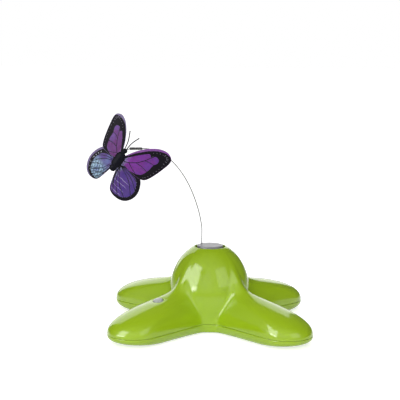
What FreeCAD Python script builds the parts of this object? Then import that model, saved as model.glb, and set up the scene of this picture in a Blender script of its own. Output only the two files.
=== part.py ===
import FreeCAD, Part
import math
import os

# Electronic butterfly toy for cats: a four-armed casing with a domed middle, a motor
# and gear train that turn a small disc, and a butterfly on a springy steel wire.
# Millimetres, +Z up. The origin is on the floor, under the middle of the casing.
# +X is to the right and -Y towards someone who looks at the power button's side.

# Casing: the plan is a flower of four arms on the diagonals
arm_centre = 91.5          # from the middle to the centre of an arm's round end
arm_end_radius = 22.8
web_radius = 31.0          # from the middle to the hollow between two arms
web_fillet = 13.0
seam_height = 8.8          # the joint between the two shells
underside_height = 1.0     # the feet lift the casing this far
arm_rise = 33.1            # height of an arm above the seam, where it leaves the dome
arm_run_power = 1.15       # how fast an arm's crest falls towards its end
arm_rise_power = 2.3       # how round an arm's back is
dome_radius = 35.6
dome_shoulder = 21.2       # height above the seam where the dome starts to close
dome_rise = 45.8           # from the shoulder to the dome's unopened top
wall = 2.2
opening_radius = 13.6
underside_draw = 0.23      # the underside is this share smaller than the seam's outline

# Turntable and its wire
disc_radius = 11.8
disc_top = 73.2
disc_thickness = 1.8
socket_place = (-7.4, 4.5)
wire_radius = 0.40
wire_bearing = -107.9      # the wire leans out this way, in degrees from +X
wire_straight_top = 85.5
wire_bends = ((10.0, 24.4), (73.8, 16.3), (171.7, 16.8), (236.6, 26.2))
sleeve_length = 25.4
sleeve_radius = 1.05
sleeve_end_run = 28.5      # from the last bend to the sleeve's outer end
link_radius = 0.3
link_depth = 4.0           # the link's seat in the sleeve

# Butterfly, in its own axes: X to the wing at the viewer's right, Y behind it, Z to its head
sleeve_mouth = (1.2, 0.7, 11.7)
butterfly_turn = -18.7
butterfly_pitch = -2.9
butterfly_roll = 36.0
wing_fold = 31.9           # each wing leans back this far
wing_film = 0.35
hinge_side = 1.0
hinge_back = 2.6
body_flatness = 0.7        # the body's depth over its width

# Power button on the arm that points to the front left
button_bearing = -135.0
button_distance = 63.5
button_radius = 4.3
button_hole_radius = 4.8
button_proud = 0.9
plunger_depth = 10.8       # the stem's lower end, under the arm's crest
board_depth = 14.2
foot_radius = 6.0

# Battery bay and its door
bay_half_length = 28.5
bay_half_width = 23.0
bay_ceiling = 18.6
bay_wall = 1.6
cell_height = 10.65        # the cells' axes above the floor
cell_radius = 7.25
cell_length = 50.5
door_half_length = 26.3
door_half_width = 20.8
door_gap = 0.2
door_ear_centre = 26.3
door_ear_radius = 3.6

# Gear train: three like pairs step the motor down 27 times
gear_module = 1.0
wheel_teeth = 18
pinion_teeth = 6
gear_face = 2.5
gear_spacing = 12.0
level_motor = 48.6
level_step = 3.0
level_output = 54.6
frame_base = 46.2
cover_base = 58.4
plate_thickness = 1.8
axle_radius = 1.0
axle_bore = 1.05
shaft_radius = 1.5
shaft_bore = 1.55
shaft_hole = 1.05

screw_distance = 80.0
foot_distance = 60.0
arm_bearings = (45.0, 135.0, 225.0, 315.0)

os.makedirs("parts", exist_ok=True)
Vector = FreeCAD.Vector
UP = Vector(0, 0, 1)


def save(name, shape):
    """Write one sub-part, and print its volume as a check."""
    shape.exportStep(os.path.join("parts", name + ".step"))
    print(name, "solids", len(shape.Solids), "volume", round(shape.Volume, 1), shape.isValid())


def polar(radius, bearing, height=0.0):
    angle = math.radians(bearing)
    return Vector(radius * math.cos(angle), radius * math.sin(angle), height)


def rod(radius, base, top, place=Vector(0, 0, 0)):
    """An upright round rod between two heights."""
    return Part.makeCylinder(radius, top - base, Vector(place.x, place.y, base))


def ring_of(radius, height, sides, flatness=1.0):
    """Corners of an even ring round the Z axis, pressed flat along Y if asked."""
    corners = [polar(radius, 360.0 * (side + 0.5) / sides, height) for side in range(sides)]
    return [Vector(c.x, c.y * flatness, c.z) for c in corners]


def closed(points):
    return Part.makePolygon(points + [points[0]])


def stack(rings):
    """A solid with flat facets through rings of equal corner count, lowest first.

    Neighbouring rings are scaled copies of each other, so every facet lies in one plane."""
    faces = [Part.Face(closed(rings[0])), Part.Face(closed(rings[-1]))]
    for low, high in zip(rings, rings[1:]):
        for corner in range(len(low)):
            before = corner - 1
            faces.append(Part.Face(closed([low[before], low[corner], high[corner], high[before]])))
    solid = Part.Solid(Part.Shell(faces))
    return solid if solid.Volume > 0 else solid.reversed()


def bar(radius, base, top, place, sides=8):
    """An upright bar with flat sides, for what sits hidden or is very small."""
    solid = Part.Face(closed(ring_of(radius, base, sides))).extrude(Vector(0, 0, top - base))
    solid.translate(Vector(place.x, place.y, 0))
    return solid


def tilted(shape, place, axis):
    """A copy of a shape made round the Z axis, moved so that its own Z runs along the axis."""
    copy = shape.copy()
    copy.Placement = FreeCAD.Placement(place, FreeCAD.Rotation(UP, axis))
    return copy


def box(low, high):
    size = Vector(*high).sub(Vector(*low))
    return Part.makeBox(size.x, size.y, size.z, Vector(*low))


def join(shapes):
    return shapes[0].multiFuse(shapes[1:]).removeSplitter()


# Casing form: a round dome with four arms. The arms' plan shrinks towards the middle as
# it rises, so each of their facets between two levels is flat.

def flank_angle(inset):
    """Bearing of a flank's normal, for an arm that lies along +X."""
    web_centre = (web_radius + web_fillet) * math.sqrt(0.5)
    along = web_centre - arm_centre
    reach = arm_end_radius + web_fillet
    swing = math.acos(reach / math.hypot(web_centre, along))
    return math.atan2(web_centre, along) - swing


def plan_points(inset, end_steps, hollow_steps):
    """Outline of the four arms: round ends, straight flanks and hollows between them."""
    flank = flank_angle(inset)
    end = arm_end_radius - inset
    hollow = web_fillet + inset
    web_centre = (web_radius + web_fillet) * math.sqrt(0.5)
    points = []
    for bearing in arm_bearings:
        arm = FreeCAD.Rotation(UP, bearing)
        for step in range(end_steps + 1):
            angle = -flank + 2 * flank * step / end_steps
            tip = Vector(arm_centre + end * math.cos(angle), end * math.sin(angle), 0)
            points.append(arm.multVec(tip))
        for step in range(hollow_steps + 1):
            angle = flank + math.pi + (math.pi / 2 - 2 * flank) * step / hollow_steps
            dip = Vector(web_centre + hollow * math.cos(angle), web_centre + hollow * math.sin(angle), 0)
            points.append(arm.multVec(dip))
    return points


def scaled_ring(points, scale, height):
    return [Vector(p.x * scale, p.y * scale, height) for p in points]


def arm_scale(climb):
    """How far an arm's plan has shrunk at this share of its full rise."""
    return (1 - climb ** arm_rise_power) ** (1 / arm_run_power)


def make_arms(inset, levels, end_steps, hollow_steps):
    points = plan_points(inset, end_steps, hollow_steps)
    rings = []
    for level in range(levels + 1):
        climb = 0.9 * (1 - (1 - level / levels) ** 1.5)
        rings.append(scaled_ring(points, arm_scale(climb), seam_height + climb * (arm_rise - inset)))
    return stack(rings)


def make_dome(inset, steps, sides):
    """The domed middle, from the seam up to the turntable's opening."""
    radius = dome_radius - inset
    rise = dome_rise - inset
    last = math.acos(opening_radius / radius)
    rings = [ring_of(radius, seam_height, sides)]
    for step in range(steps + 1):
        angle = last * step / steps
        height = seam_height + dome_shoulder + rise * math.sin(angle)
        rings.append(ring_of(radius * math.cos(angle), height, sides))
    return stack(rings)


def lowered(shape):
    """The same hollow, run on a little past the seam so that it cuts clean."""
    return shape.fuse(shape.translated(Vector(0, 0, -1)))


def make_underside(inset, levels, end_steps, hollow_steps):
    """The lower shell's body: it draws in towards the floor in a quarter round."""
    points = plan_points(inset, end_steps, hollow_steps)
    depth = seam_height - underside_height - inset
    rings = []
    for level in range(levels + 1):
        curl = math.pi / 2 * level / levels
        shrink = underside_draw * (1 - math.cos(curl))
        rings.insert(0, scaled_ring(points, 1 - shrink, seam_height - depth * math.sin(curl)))
    top = dome_radius - inset
    middle = Part.makeCone(top - 3.0, top, depth, Vector(0, 0, seam_height - depth))
    return stack(rings).fuse(middle)


def crest_point(distance):
    """A point of the arm's crest at this distance from the middle, and its outward normal."""
    def height(run):
        share = run / (arm_centre + arm_end_radius)
        return seam_height + arm_rise * (1 - share ** arm_run_power) ** (1 / arm_rise_power)
    slope = (height(distance + 0.1) - height(distance - 0.1)) / 0.2
    normal = polar(-slope, button_bearing, 1)
    normal.normalize()
    return polar(distance, button_bearing, height(distance)), normal


def along_axis(point, axis, base, top, radius):
    start = point.add(Vector(axis).multiply(base))
    return Part.makeCylinder(radius, top - base, start, axis)


def button_side():
    """Level direction across the button's arm."""
    return polar(1, button_bearing + 90)


def make_upper_shell(point, axis):
    outside = make_arms(0, 7, 12, 4).fuse(make_dome(0, 7, 56))
    inside = lowered(make_arms(wall, 5, 6, 2)).fuse(lowered(make_dome(wall, 5, 32)))
    shell = outside.cut(inside)
    bosses = [bar(3.6, seam_height, 40, polar(screw_distance, b)) for b in arm_bearings]
    for way in (-1, 1):
        place = point.add(button_side().multiply(way * 8.0))
        bosses.append(tilted(bar(1.6, -board_depth, 4, Vector(0, 0, 0)), place, axis))
    for boss in bosses:
        shell = shell.fuse(boss.common(outside))
    for bearing in arm_bearings:
        shell = shell.cut(bar(1.5, seam_height - 1, 19, polar(screw_distance, bearing)))
    shell = shell.cut(rod(opening_radius, 60, 80))
    return shell.cut(along_axis(point, axis, -8, 8, button_hole_radius))


def make_base_shell():
    inside = make_underside(wall, 2, 6, 2)
    inside = inside.fuse(inside.translated(Vector(0, 0, 1)))
    floor = underside_height + 1
    outer_bay = box((-bay_half_length - bay_wall, -bay_half_width - bay_wall, floor),
                    (bay_half_length + bay_wall, bay_half_width + bay_wall, bay_ceiling + bay_wall))
    pieces = [make_underside(0, 4, 12, 4).cut(inside), outer_bay]
    for bearing in arm_bearings:
        pieces.append(bar(4.8, floor, seam_height, polar(screw_distance, bearing)))
        pieces.append(bar(8.0, floor, floor + 2.2, polar(foot_distance, bearing)))
    pieces.append(bar(3.6, floor, 11, Vector(0, door_ear_centre, 0)))
    shell = join(pieces)
    half_length = door_half_length + door_gap
    half_width = door_half_width + door_gap
    ear = Vector(0, door_ear_centre, 0)
    ear_width = door_ear_radius + door_gap
    cuts = [box((-bay_half_length, -bay_half_width, underside_height + wall),
                (bay_half_length, bay_half_width, bay_ceiling)),
            box((-half_length, -half_width, 0), (half_length, half_width, floor)),
            box((-half_length + 1, -half_width + 1, 0), (half_length - 1, half_width - 1, bay_ceiling)),
            rod(ear_width, 0, floor, ear),
            box((-ear_width, 0, 0), (ear_width, door_ear_centre, floor)),
            bar(1.2, 0, 9, ear)]
    for bearing in arm_bearings:
        cuts.append(bar(3.5, 0, 5.2, polar(screw_distance, bearing)))
        cuts.append(bar(1.6, 0, seam_height + 1, polar(screw_distance, bearing)))
        cuts.append(bar(foot_radius + 0.2, 0, floor, polar(foot_distance, bearing), 24))
    for cut in cuts:
        shell = shell.cut(cut)
    return shell


def make_feet():
    floor = underside_height + 1
    return Part.makeCompound([bar(foot_radius, 0, floor, polar(foot_distance, b), 24)
                              for b in arm_bearings])


# Battery bay contents and door

def make_door():
    base = underside_height
    skin = base + 0.8
    pad = base + 1.9
    pieces = [box((-door_half_length, -door_half_width, base), (door_half_length, door_half_width, skin)),
              box((-door_half_length + 1.2, -door_half_width + 1.2, skin),
                  (door_half_length - 1.2, door_half_width - 1.2, pad)),
              rod(door_ear_radius, base, skin, Vector(0, door_ear_centre, 0)),
              box((-door_ear_radius, 0, base), (door_ear_radius, door_ear_centre, skin))]
    for place in (-15, 15):
        pieces.append(box((place - 4, -door_half_width + 1.4, base + 1.5),
                          (place + 4, -door_half_width + 2.4, base + 3.2)))
        pieces.append(box((place - 4, -door_half_width - 2.0, base + 2.5),
                          (place + 4, -door_half_width + 2.4, base + 3.2)))
    door = join(pieces)
    for groove in range(5):
        offset = -8 + 4 * groove
        door = door.cut(box((offset - 0.6, 11, base - 1), (offset + 0.6, 17, base + 0.35)))
    return door.cut(bar(1.3, 0, 5, Vector(0, door_ear_centre, 0)))


def cell_rows():
    """Three cells side by side, turned about in the usual way: row offset and direction."""
    return ((-15.0, -1), (0.0, 1), (15.0, -1))


def make_cells():
    cells = []
    for row, way in cell_rows():
        body = bar(cell_radius, 0, cell_length - 1.2, Vector(0, 0, 0), 24)
        cell = body.fuse(bar(2.7, cell_length - 1.2, cell_length, Vector(0, 0, 0), 12))
        start = Vector(-way * cell_length / 2, row, cell_height)
        cells.append(tilted(cell, start, Vector(way, 0, 0)))
    return Part.makeCompound(cells)


def make_contacts():
    """A plate at each end of each cell; the one at the flat end carries a spring's cone."""
    contacts = []
    for row, way in cell_rows():
        for end in (-1, 1):
            face = end * (bay_half_length - 0.2)
            low = min(face, face - end * 0.5)
            plate = box((low, row - 5, cell_height - 5), (low + 0.5, row + 5, cell_height + 5))
            if end == -way:
                start = Vector(face - end * 0.5, row, cell_height)
                spring = stack([ring_of(3.6, 0, 8), ring_of(2.4, 2.1, 8)])
                plate = plate.fuse(tilted(spring, start, Vector(-end, 0, 0)))
            contacts.append(plate)
    return Part.makeCompound(contacts)


# Gear train

def gear_outline(teeth, tooth_bearing):
    """Straight-sided teeth, one of them centred on the given bearing."""
    pitch_radius = gear_module * teeth / 2
    tip = pitch_radius + gear_module * 0.95
    root = pitch_radius - gear_module * 1.15
    pitch = 360.0 / teeth
    points = []
    for tooth in range(teeth):
        middle = tooth_bearing + tooth * pitch
        for radius, share in ((root, -0.30), (tip, -0.10), (tip, 0.10), (root, 0.30)):
            points.append(polar(radius, middle + share * pitch))
    return closed(points)


def gear(teeth, tooth_bearing, base, top, bore, place):
    blank = Part.Face(gear_outline(teeth, tooth_bearing)).extrude(Vector(0, 0, top - base))
    blank.translate(Vector(place.x, place.y, base))
    return blank.cut(rod(bore, base - 1, top + 1, place))


def compound_gear(place, wheel_base, wheel_tooth, pinion_tooth):
    """A wheel with a pinion on top; the pinion reaches up through the next wheel's level."""
    wheel_top = wheel_base + gear_face
    wheel = gear(wheel_teeth, wheel_tooth, wheel_base, wheel_top, axle_bore, place)
    pinion = gear(pinion_teeth, pinion_tooth, wheel_top, wheel_base + level_step + gear_face,
                  axle_bore, place)
    return wheel.fuse(pinion)


second_place = polar(gear_spacing, 90)
first_place = polar(gear_spacing, 150)
motor_place = polar(gear_spacing, 210)
half_pinion_pitch = 180.0 / pinion_teeth
leg_places = (polar(20.0, 0), polar(23.5, 120), polar(20.0, 255))
post_places = (polar(17.0, 40), polar(18.5, 195), polar(18.5, 255))


def make_output_gear():
    top = level_output + gear_face
    wheel = gear(wheel_teeth, 90, level_output, top, shaft_radius, Vector(0, 0, 0))
    return wheel.fuse(bar(3.2, top, top + 0.6, Vector(0, 0, 0)).cut(rod(shaft_radius, 0, 90)))


def plate(base, radius):
    return bar(radius, base, base + plate_thickness, Vector(-2, 0, 0), 24)


def make_gearbox_frame():
    """Lower plate on three legs that stand on the battery bay, with spacer posts and axles."""
    pieces = [plate(frame_base, 20.5)]
    for place in leg_places:
        pieces.append(bar(3.4, frame_base, frame_base + plate_thickness, place))
        pieces.append(bar(2.5, bay_ceiling + bay_wall, frame_base, place))
    for place in post_places:
        pieces.append(bar(2.2, frame_base + plate_thickness, cover_base, place))
    for place in (first_place, second_place):
        pieces.append(rod(axle_radius, frame_base + plate_thickness, cover_base + 0.8, place))
    frame = join(pieces)
    frame = frame.cut(rod(shaft_bore, frame_base + 0.5, 60))
    return frame.cut(bar(3.1, 40, 60, motor_place, 16))


def make_gearbox_cover():
    """Upper plate with a neck that steadies the output shaft."""
    top = cover_base + plate_thickness
    cover = plate(cover_base, 20.5).fuse(bar(4.0, top, top + 4.0, Vector(0, 0, 0), 16))
    for place in (first_place, second_place):
        cover = cover.cut(bar(axle_radius + 0.15, cover_base - 1, cover_base + 1.0, place))
    for place in post_places:
        cover = cover.cut(bar(1.1, cover_base - 1, top + 1, place))
    return cover.cut(rod(shaft_bore, 50, 70))


def motor_outline(base, top, round_radius, half_flat):
    barrel = rod(round_radius, base, top, motor_place)
    low = (motor_place.x - 20, motor_place.y - half_flat, base)
    high = (motor_place.x + 20, motor_place.y + half_flat, top)
    return barrel.common(box(low, high))


def make_motor_can():
    can = motor_outline(25.4, frame_base, 10.0, 7.5)
    return can.cut(rod(shaft_hole, 40, 60, motor_place))


def make_motor_end_cap():
    return motor_outline(21.4, 25.4, 9.6, 7.2)


def make_motor_shaft():
    return rod(axle_radius, 40.5, level_motor + gear_face + 0.3, motor_place)


def make_motor_pinion():
    return gear(pinion_teeth, 90 + half_pinion_pitch, level_motor, level_motor + gear_face,
                axle_radius, motor_place)


# Turntable and flight wire

def make_turntable():
    """The grey disc on top of the dome, with a hub below and the wire's socket."""
    underside = disc_top - disc_thickness
    disc = rod(disc_radius, underside, disc_top)
    socket = Vector(*socket_place, 0)
    disc = join([disc, bar(3.4, 65.2, underside, Vector(0, 0, 0), 16), bar(2.0, 66.4, underside, socket)])
    disc = disc.cut(rod(shaft_radius, 60, underside))
    return disc.cut(bar(wire_radius, 67.4, 80, socket))


def make_output_shaft():
    return rod(shaft_radius, frame_base + 0.6, disc_top - disc_thickness)


def wire_route():
    """The wire's centre line: upright out of the socket, then ever gentler bends.

    It gives the line, its last heading and the place where the sleeve ends."""
    out = polar(1, wire_bearing)
    heading = math.radians(90)
    place = Vector(*socket_place, wire_straight_top)
    edges = [Part.LineSegment(Vector(*socket_place, 67.4), place).toShape()]
    for radius, turn in wire_bends:
        stops = []
        for share in (0.5, 1.0):
            later = heading - math.radians(turn) * share
            run = radius * (math.sin(heading) - math.sin(later))
            climb = radius * (math.cos(later) - math.cos(heading))
            stops.append(place.add(Vector(out).multiply(run)).add(Vector(0, 0, climb)))
        edges.append(Part.Arc(place, stops[0], stops[1]).toShape())
        place = stops[1]
        heading -= math.radians(turn)
    way = Vector(out).multiply(math.cos(heading)).add(Vector(0, 0, math.sin(heading)))
    sleeve_end = place.add(Vector(way).multiply(sleeve_end_run))
    wire_end = sleeve_end.sub(Vector(way).multiply(link_depth))
    edges.append(Part.LineSegment(place, wire_end).toShape())
    return Part.Wire(edges), way, sleeve_end


def sweep(path, radius, sides):
    """A fine wire of many flats along a path that starts upright."""
    start = path.OrderedVertexes[0].Point
    ring = closed(ring_of(radius, 0, sides))
    ring.translate(start)
    return path.makePipeShell([ring], True, False)


def make_sleeve(way, sleeve_end):
    """The dark crimp tube that grips the wire and holds the butterfly's link."""
    tube = bar(sleeve_radius, -sleeve_length, 0, Vector(0, 0, 0), 16)
    tube = tube.cut(bar(wire_radius, -sleeve_length - 1, -link_depth, Vector(0, 0, 0)))
    tube = tube.cut(bar(link_radius + 0.06, -link_depth, 1, Vector(0, 0, 0)))
    return tilted(tube, sleeve_end, way)


# Butterfly

def butterfly_frame(sleeve_end):
    """The butterfly's own axes, placed so that the sleeve's mouth is just above its head."""
    turn = FreeCAD.Rotation(UP, butterfly_turn)
    pitch = FreeCAD.Rotation(Vector(1, 0, 0), butterfly_pitch)
    roll = FreeCAD.Rotation(Vector(0, 1, 0), butterfly_roll)
    tilt = turn.multiply(pitch).multiply(roll)
    return FreeCAD.Placement(sleeve_end.sub(tilt.multVec(Vector(*sleeve_mouth))), tilt)


def placed(shape, placement):
    copy = shape.copy()
    copy.Placement = placement.multiply(copy.Placement)
    return copy


# Half width and height of the body's rings, from the tail to the crown of the head
body_rings = ((0.8, -10.2), (2.1, -9.2), (2.4, -7.6), (1.9, -5.7), (3.0, -4.4), (3.5, -1.6), (3.2, 0.6),
              (3.5, 2.4), (2.8, 5.0), (1.3, 6.6), (1.3, 7.0), (1.9, 8.2), (1.7, 9.4), (0.8, 10.2))


def make_body():
    rings = [ring_of(half_width, height, 10, body_flatness) for half_width, height in body_rings]
    keel = box((-hinge_side + 0.3, 1.2, -4.0), (hinge_side - 0.3, hinge_back + 0.3, 4.8))
    return stack(rings).fuse(keel)


def make_antennae():
    """Two fine feelers that lean outwards, each with a small knob at its end."""
    feelers = []
    for side in (-1, 1):
        root = Vector(side * 0.7, -0.8, 9.0)
        end = Vector(side * 4.5, 0, 21.8)
        curve = Part.Arc(root, Vector(side * 1.6, -0.7, 15.6), end)
        way = curve.tangent(curve.LastParameter)[0]
        path = Part.Wire([curve.toShape()])
        start = closed(ring_of(0.2, 0, 6))
        start.translate(root)
        feeler = path.makePipeShell([start], True, False)
        rings = [ring_of(r, h, 6) for r, h in ((0.25, -0.1), (0.5, 0.3), (0.5, 0.7), (0.2, 1.0))]
        knob = tilted(stack(rings), end, way)
        feelers.append(feeler.fuse(knob))
    return Part.makeCompound(feelers)


# Wing outlines from the hinge outwards, in the wing's own plane
forewing_corners = ((0.3, 4.2), (6.0, 11.6), (12.6, 17.6), (20.6, 22.3), (27.6, 23.2), (32.2, 19.0), (30.2, 9.0),
                    (26.2, -1.6), (21.8, -5.2), (13.0, -4.4), (0.3, -0.6))
hindwing_corners = ((0.3, 0.4), (12.0, -1.4), (21.6, -4.4), (26.6, -12.6), (26.8, -20.2), (22.6, -26.0),
                    (15.4, -27.4), (7.4, -24.2), (3.4, -15.0), (0.3, -3.8))


def make_wing(corners, layer, side):
    """A film wing folded back from its hinge; the layer sets the hindwing behind."""
    curve = Part.BSplineCurve()
    curve.interpolate(Points=[Vector(x, 0, z) for x, z in corners])
    film = Part.Face(closed(curve.discretize(30))).extrude(Vector(0, wing_film, 0))
    film.translate(Vector(0, layer, 0))
    film.rotate(Vector(0, 0, 0), UP, wing_fold)
    film.translate(Vector(hinge_side, hinge_back, 0))
    return film if side > 0 else film.mirror(Vector(0, 0, 0), Vector(1, 0, 0))


def make_link(frame, way, sleeve_end):
    """The fine bent wire between the sleeve and the butterfly's head."""
    head = frame.multVec(Vector(0.2, 0.5, 9.2))
    inside = sleeve_end.sub(Vector(way).multiply(link_depth - 0.3))
    corner = sleeve_end.add(Vector(way).multiply(0.5))
    path = Part.makePolygon([inside, corner, head])
    start = tilted(closed(ring_of(link_radius, 0, 6)), inside, way)
    return path.makePipeShell([start], True, False, 1)


# Power button and its switch

def make_button(point, axis):
    """Cap with a domed top, retaining flange and stem, along the button's own axis."""
    collar = button_radius + 1.3
    profile = ((collar, -4.6), (collar, -3.7), (button_radius, -3.7), (button_radius, button_proud - 0.9),
               (button_radius - 1.6, button_proud - 0.2), (button_radius - 3.2, button_proud))
    cap = stack([ring_of(radius, height, 24) for radius, height in profile])
    return tilted(cap.fuse(bar(1.1, -plunger_depth, -4.6, Vector(0, 0, 0))), point, axis)


def board_frame(point, axis):
    """The switch board's own axes: X across the arm and Z along the button's axis."""
    return FreeCAD.Placement(point, FreeCAD.Rotation(button_side(), axis.cross(button_side()), axis, "ZXY"))


def make_switch(frame):
    """A small square push switch with a well for its plunger."""
    body = box((-3.2, -3.2, -board_depth), (3.2, 3.2, 0.4 - plunger_depth))
    return placed(body.cut(bar(1.3, -board_depth + 0.6, 0, Vector(0, 0, 0))), frame)


def make_board(frame):
    """The circuit board under the switch, held by the two posts in the arm."""
    return placed(box((-10.2, -6, -board_depth - 1.6), (10.2, 6, -board_depth)), frame)


def main():
    point, axis = crest_point(button_distance)
    print("button at", [round(v, 2) for v in point], "axis", [round(v, 4) for v in axis])
    save("upper_shell", make_upper_shell(point, axis))
    save("base_shell", make_base_shell())
    save("rubber_feet", make_feet())
    save("power_button", make_button(point, axis))
    board = board_frame(point, axis)
    save("push_switch", make_switch(board))
    save("switch_board", make_board(board))
    save("battery_door", make_door())
    save("battery_cells", make_cells())
    save("battery_contacts", make_contacts())
    save("gearbox_frame", make_gearbox_frame())
    save("gearbox_cover", make_gearbox_cover())
    save("motor_can", make_motor_can())
    save("motor_end_cap", make_motor_end_cap())
    save("motor_shaft", make_motor_shaft())
    save("motor_pinion", make_motor_pinion())
    save("first_gear", compound_gear(first_place, level_motor, 270, 30 + half_pinion_pitch))
    save("second_gear", compound_gear(second_place, level_motor + level_step, 210, 270 + half_pinion_pitch))
    save("output_gear", make_output_gear())
    save("output_shaft", make_output_shaft())
    save("turntable_disc", make_turntable())
    route, way, sleeve_end = wire_route()
    print("wire length", round(route.Length, 1), "sleeve end", [round(v, 2) for v in sleeve_end],
          "way", [round(v, 4) for v in way])
    save("flight_wire", sweep(route, wire_radius, 8))
    save("wire_sleeve", make_sleeve(way, sleeve_end))
    frame = butterfly_frame(sleeve_end)
    print("butterfly at", [round(v, 2) for v in frame.Base])
    save("butterfly_link", make_link(frame, way, sleeve_end))
    save("butterfly_body", placed(make_body(), frame))
    save("antennae", placed(make_antennae(), frame))
    for side, name in ((1, "right"), (-1, "left")):
        forewing = make_wing(forewing_corners, 0.0, side)
        hindwing = make_wing(hindwing_corners, wing_film, side)
        save(name + "_forewing", placed(forewing, frame))
        save(name + "_hindwing", placed(hindwing, frame))


main()
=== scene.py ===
# %% [markdown]
# # A battery cat toy: four-armed casing, turntable, steel wire and butterfly
#
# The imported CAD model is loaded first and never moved. Everything made here is placed in
# the same axes: metres, +Z up, and the turntable's axis is the Z axis. Shapes are built in
# millimetres, as they are in a workshop drawing, and scaled once when they are finished.

# %% Load the frame
import math
import bmesh
import bpy
import numpy as np
from mathutils import Matrix, Vector


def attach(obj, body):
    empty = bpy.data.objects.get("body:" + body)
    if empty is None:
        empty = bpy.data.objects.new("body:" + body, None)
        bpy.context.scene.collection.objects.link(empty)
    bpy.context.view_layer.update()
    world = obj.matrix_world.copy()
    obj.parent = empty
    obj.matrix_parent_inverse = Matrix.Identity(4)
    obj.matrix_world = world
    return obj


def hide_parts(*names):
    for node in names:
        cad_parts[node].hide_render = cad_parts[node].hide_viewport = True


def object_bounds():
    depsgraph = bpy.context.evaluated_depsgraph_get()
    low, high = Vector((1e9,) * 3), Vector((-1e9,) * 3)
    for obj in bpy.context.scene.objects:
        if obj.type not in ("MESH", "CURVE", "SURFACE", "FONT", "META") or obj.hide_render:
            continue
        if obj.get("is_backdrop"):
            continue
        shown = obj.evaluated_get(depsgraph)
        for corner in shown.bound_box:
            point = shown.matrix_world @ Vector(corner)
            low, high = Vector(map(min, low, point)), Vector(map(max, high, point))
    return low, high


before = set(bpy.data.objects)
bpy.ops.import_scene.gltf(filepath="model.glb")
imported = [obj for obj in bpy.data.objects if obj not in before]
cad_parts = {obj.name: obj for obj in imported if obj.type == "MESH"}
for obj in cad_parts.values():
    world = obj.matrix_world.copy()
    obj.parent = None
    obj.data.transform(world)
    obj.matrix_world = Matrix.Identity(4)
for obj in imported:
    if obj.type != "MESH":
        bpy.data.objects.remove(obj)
cad_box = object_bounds()
millimetre = 0.001
upward = Vector((0, 0, 1))


def write_sizes():
    """Keep the CAD box and the dressed model's box side by side."""
    rows = {"cad": cad_box, "visual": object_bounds()}
    plain = {name: [[round(float(v), 5) for v in corner] for corner in box] for name, box in rows.items()}
    return plain


print(write_sizes())

# %% [markdown]
# ## Camera
#
# The toy is seen from a little above, with a long lens. A camera can be aimed with a
# constraint, but a matrix says exactly which way is right, up and back, and it also holds
# the small roll of the picture. So the three directions are worked out and written in.

# %% Camera
camera_place = Vector((-0.0141, -1.1223, 0.2943))
camera_heading = math.radians(0.243)
camera_tilt = math.radians(9.15)
camera_roll = math.radians(0.532)
ahead = Vector((math.sin(camera_heading) * math.cos(camera_tilt),
                math.cos(camera_heading) * math.cos(camera_tilt), -math.sin(camera_tilt)))
level_right = Vector((math.cos(camera_heading), -math.sin(camera_heading), 0))
level_up = level_right.cross(ahead)
to_right = level_right * math.cos(camera_roll) + level_up * math.sin(camera_roll)
to_up = level_up * math.cos(camera_roll) - level_right * math.sin(camera_roll)
camera = bpy.data.objects.new("camera", bpy.data.cameras.new("camera"))
camera.data.lens = 115.47
camera.data.sensor_width = 36.0
camera_turn = Matrix((to_right, to_up, -ahead)).transposed()
camera.matrix_world = Matrix.Translation(camera_place) @ camera_turn.to_4x4()
bpy.context.collection.objects.link(camera)
bpy.context.scene.camera = camera
bpy.context.scene.view_settings.view_transform = "Standard"
print("camera at", tuple(camera_place))

# %% [markdown]
# ## Building blocks
#
# A few small helpers do most of the work. `ring` starts a shape from a circle, `grow`
# extrudes its open edge and lets a rule place the new corners, and `cap` closes it. With a
# rule for the corners, the same steps make a dome, a tube or a wing. A turned part is a
# profile spun about an axis. `finished` makes the mesh an object in metres. A gloss surface
# needs two kinds of shading, smooth over its curls and sharp at its corners, so edges that
# turn by more than a given angle are marked as sharp.

# %% Mesh helpers
def ring(form, sides, place):
    """A circle of corners about the Z axis, each put where place(bearing) says."""
    made = bmesh.ops.create_circle(form, cap_ends=False, segments=sides, radius=1.0)
    for vert in made["verts"]:
        vert.co = place(math.atan2(vert.co.y, vert.co.x))
    return list({edge for vert in made["verts"] for edge in vert.link_edges})


def grow(form, rim, place):
    """Extrude an open edge, put each new corner at place(corner), and return the new edge."""
    made = bmesh.ops.extrude_edge_only(form, edges=rim)["geom"]
    for part in made:
        if isinstance(part, bmesh.types.BMVert):
            part.co = place(part.co.copy())
    return [part for part in made if isinstance(part, bmesh.types.BMEdge) and part.is_boundary]


def cap(form, rim):
    bmesh.ops.contextual_create(form, geom=rim)


def spun_profile(form, profile, sides, place=Vector((0, 0, 0)), axis=upward):
    """Turn a profile of (radius, height) about an axis. Ends at radius 0 close the shape."""
    turn = upward.rotation_difference(axis).to_matrix()
    verts = [form.verts.new(place + turn @ Vector((radius, 0, height))) for radius, height in profile]
    edges = [form.edges.new(pair) for pair in zip(verts, verts[1:])]
    bmesh.ops.spin(form, geom=verts + edges, cent=place, axis=axis, dvec=(0, 0, 0),
                   angle=math.tau, steps=sides, use_merge=True, use_duplicate=False)


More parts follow.
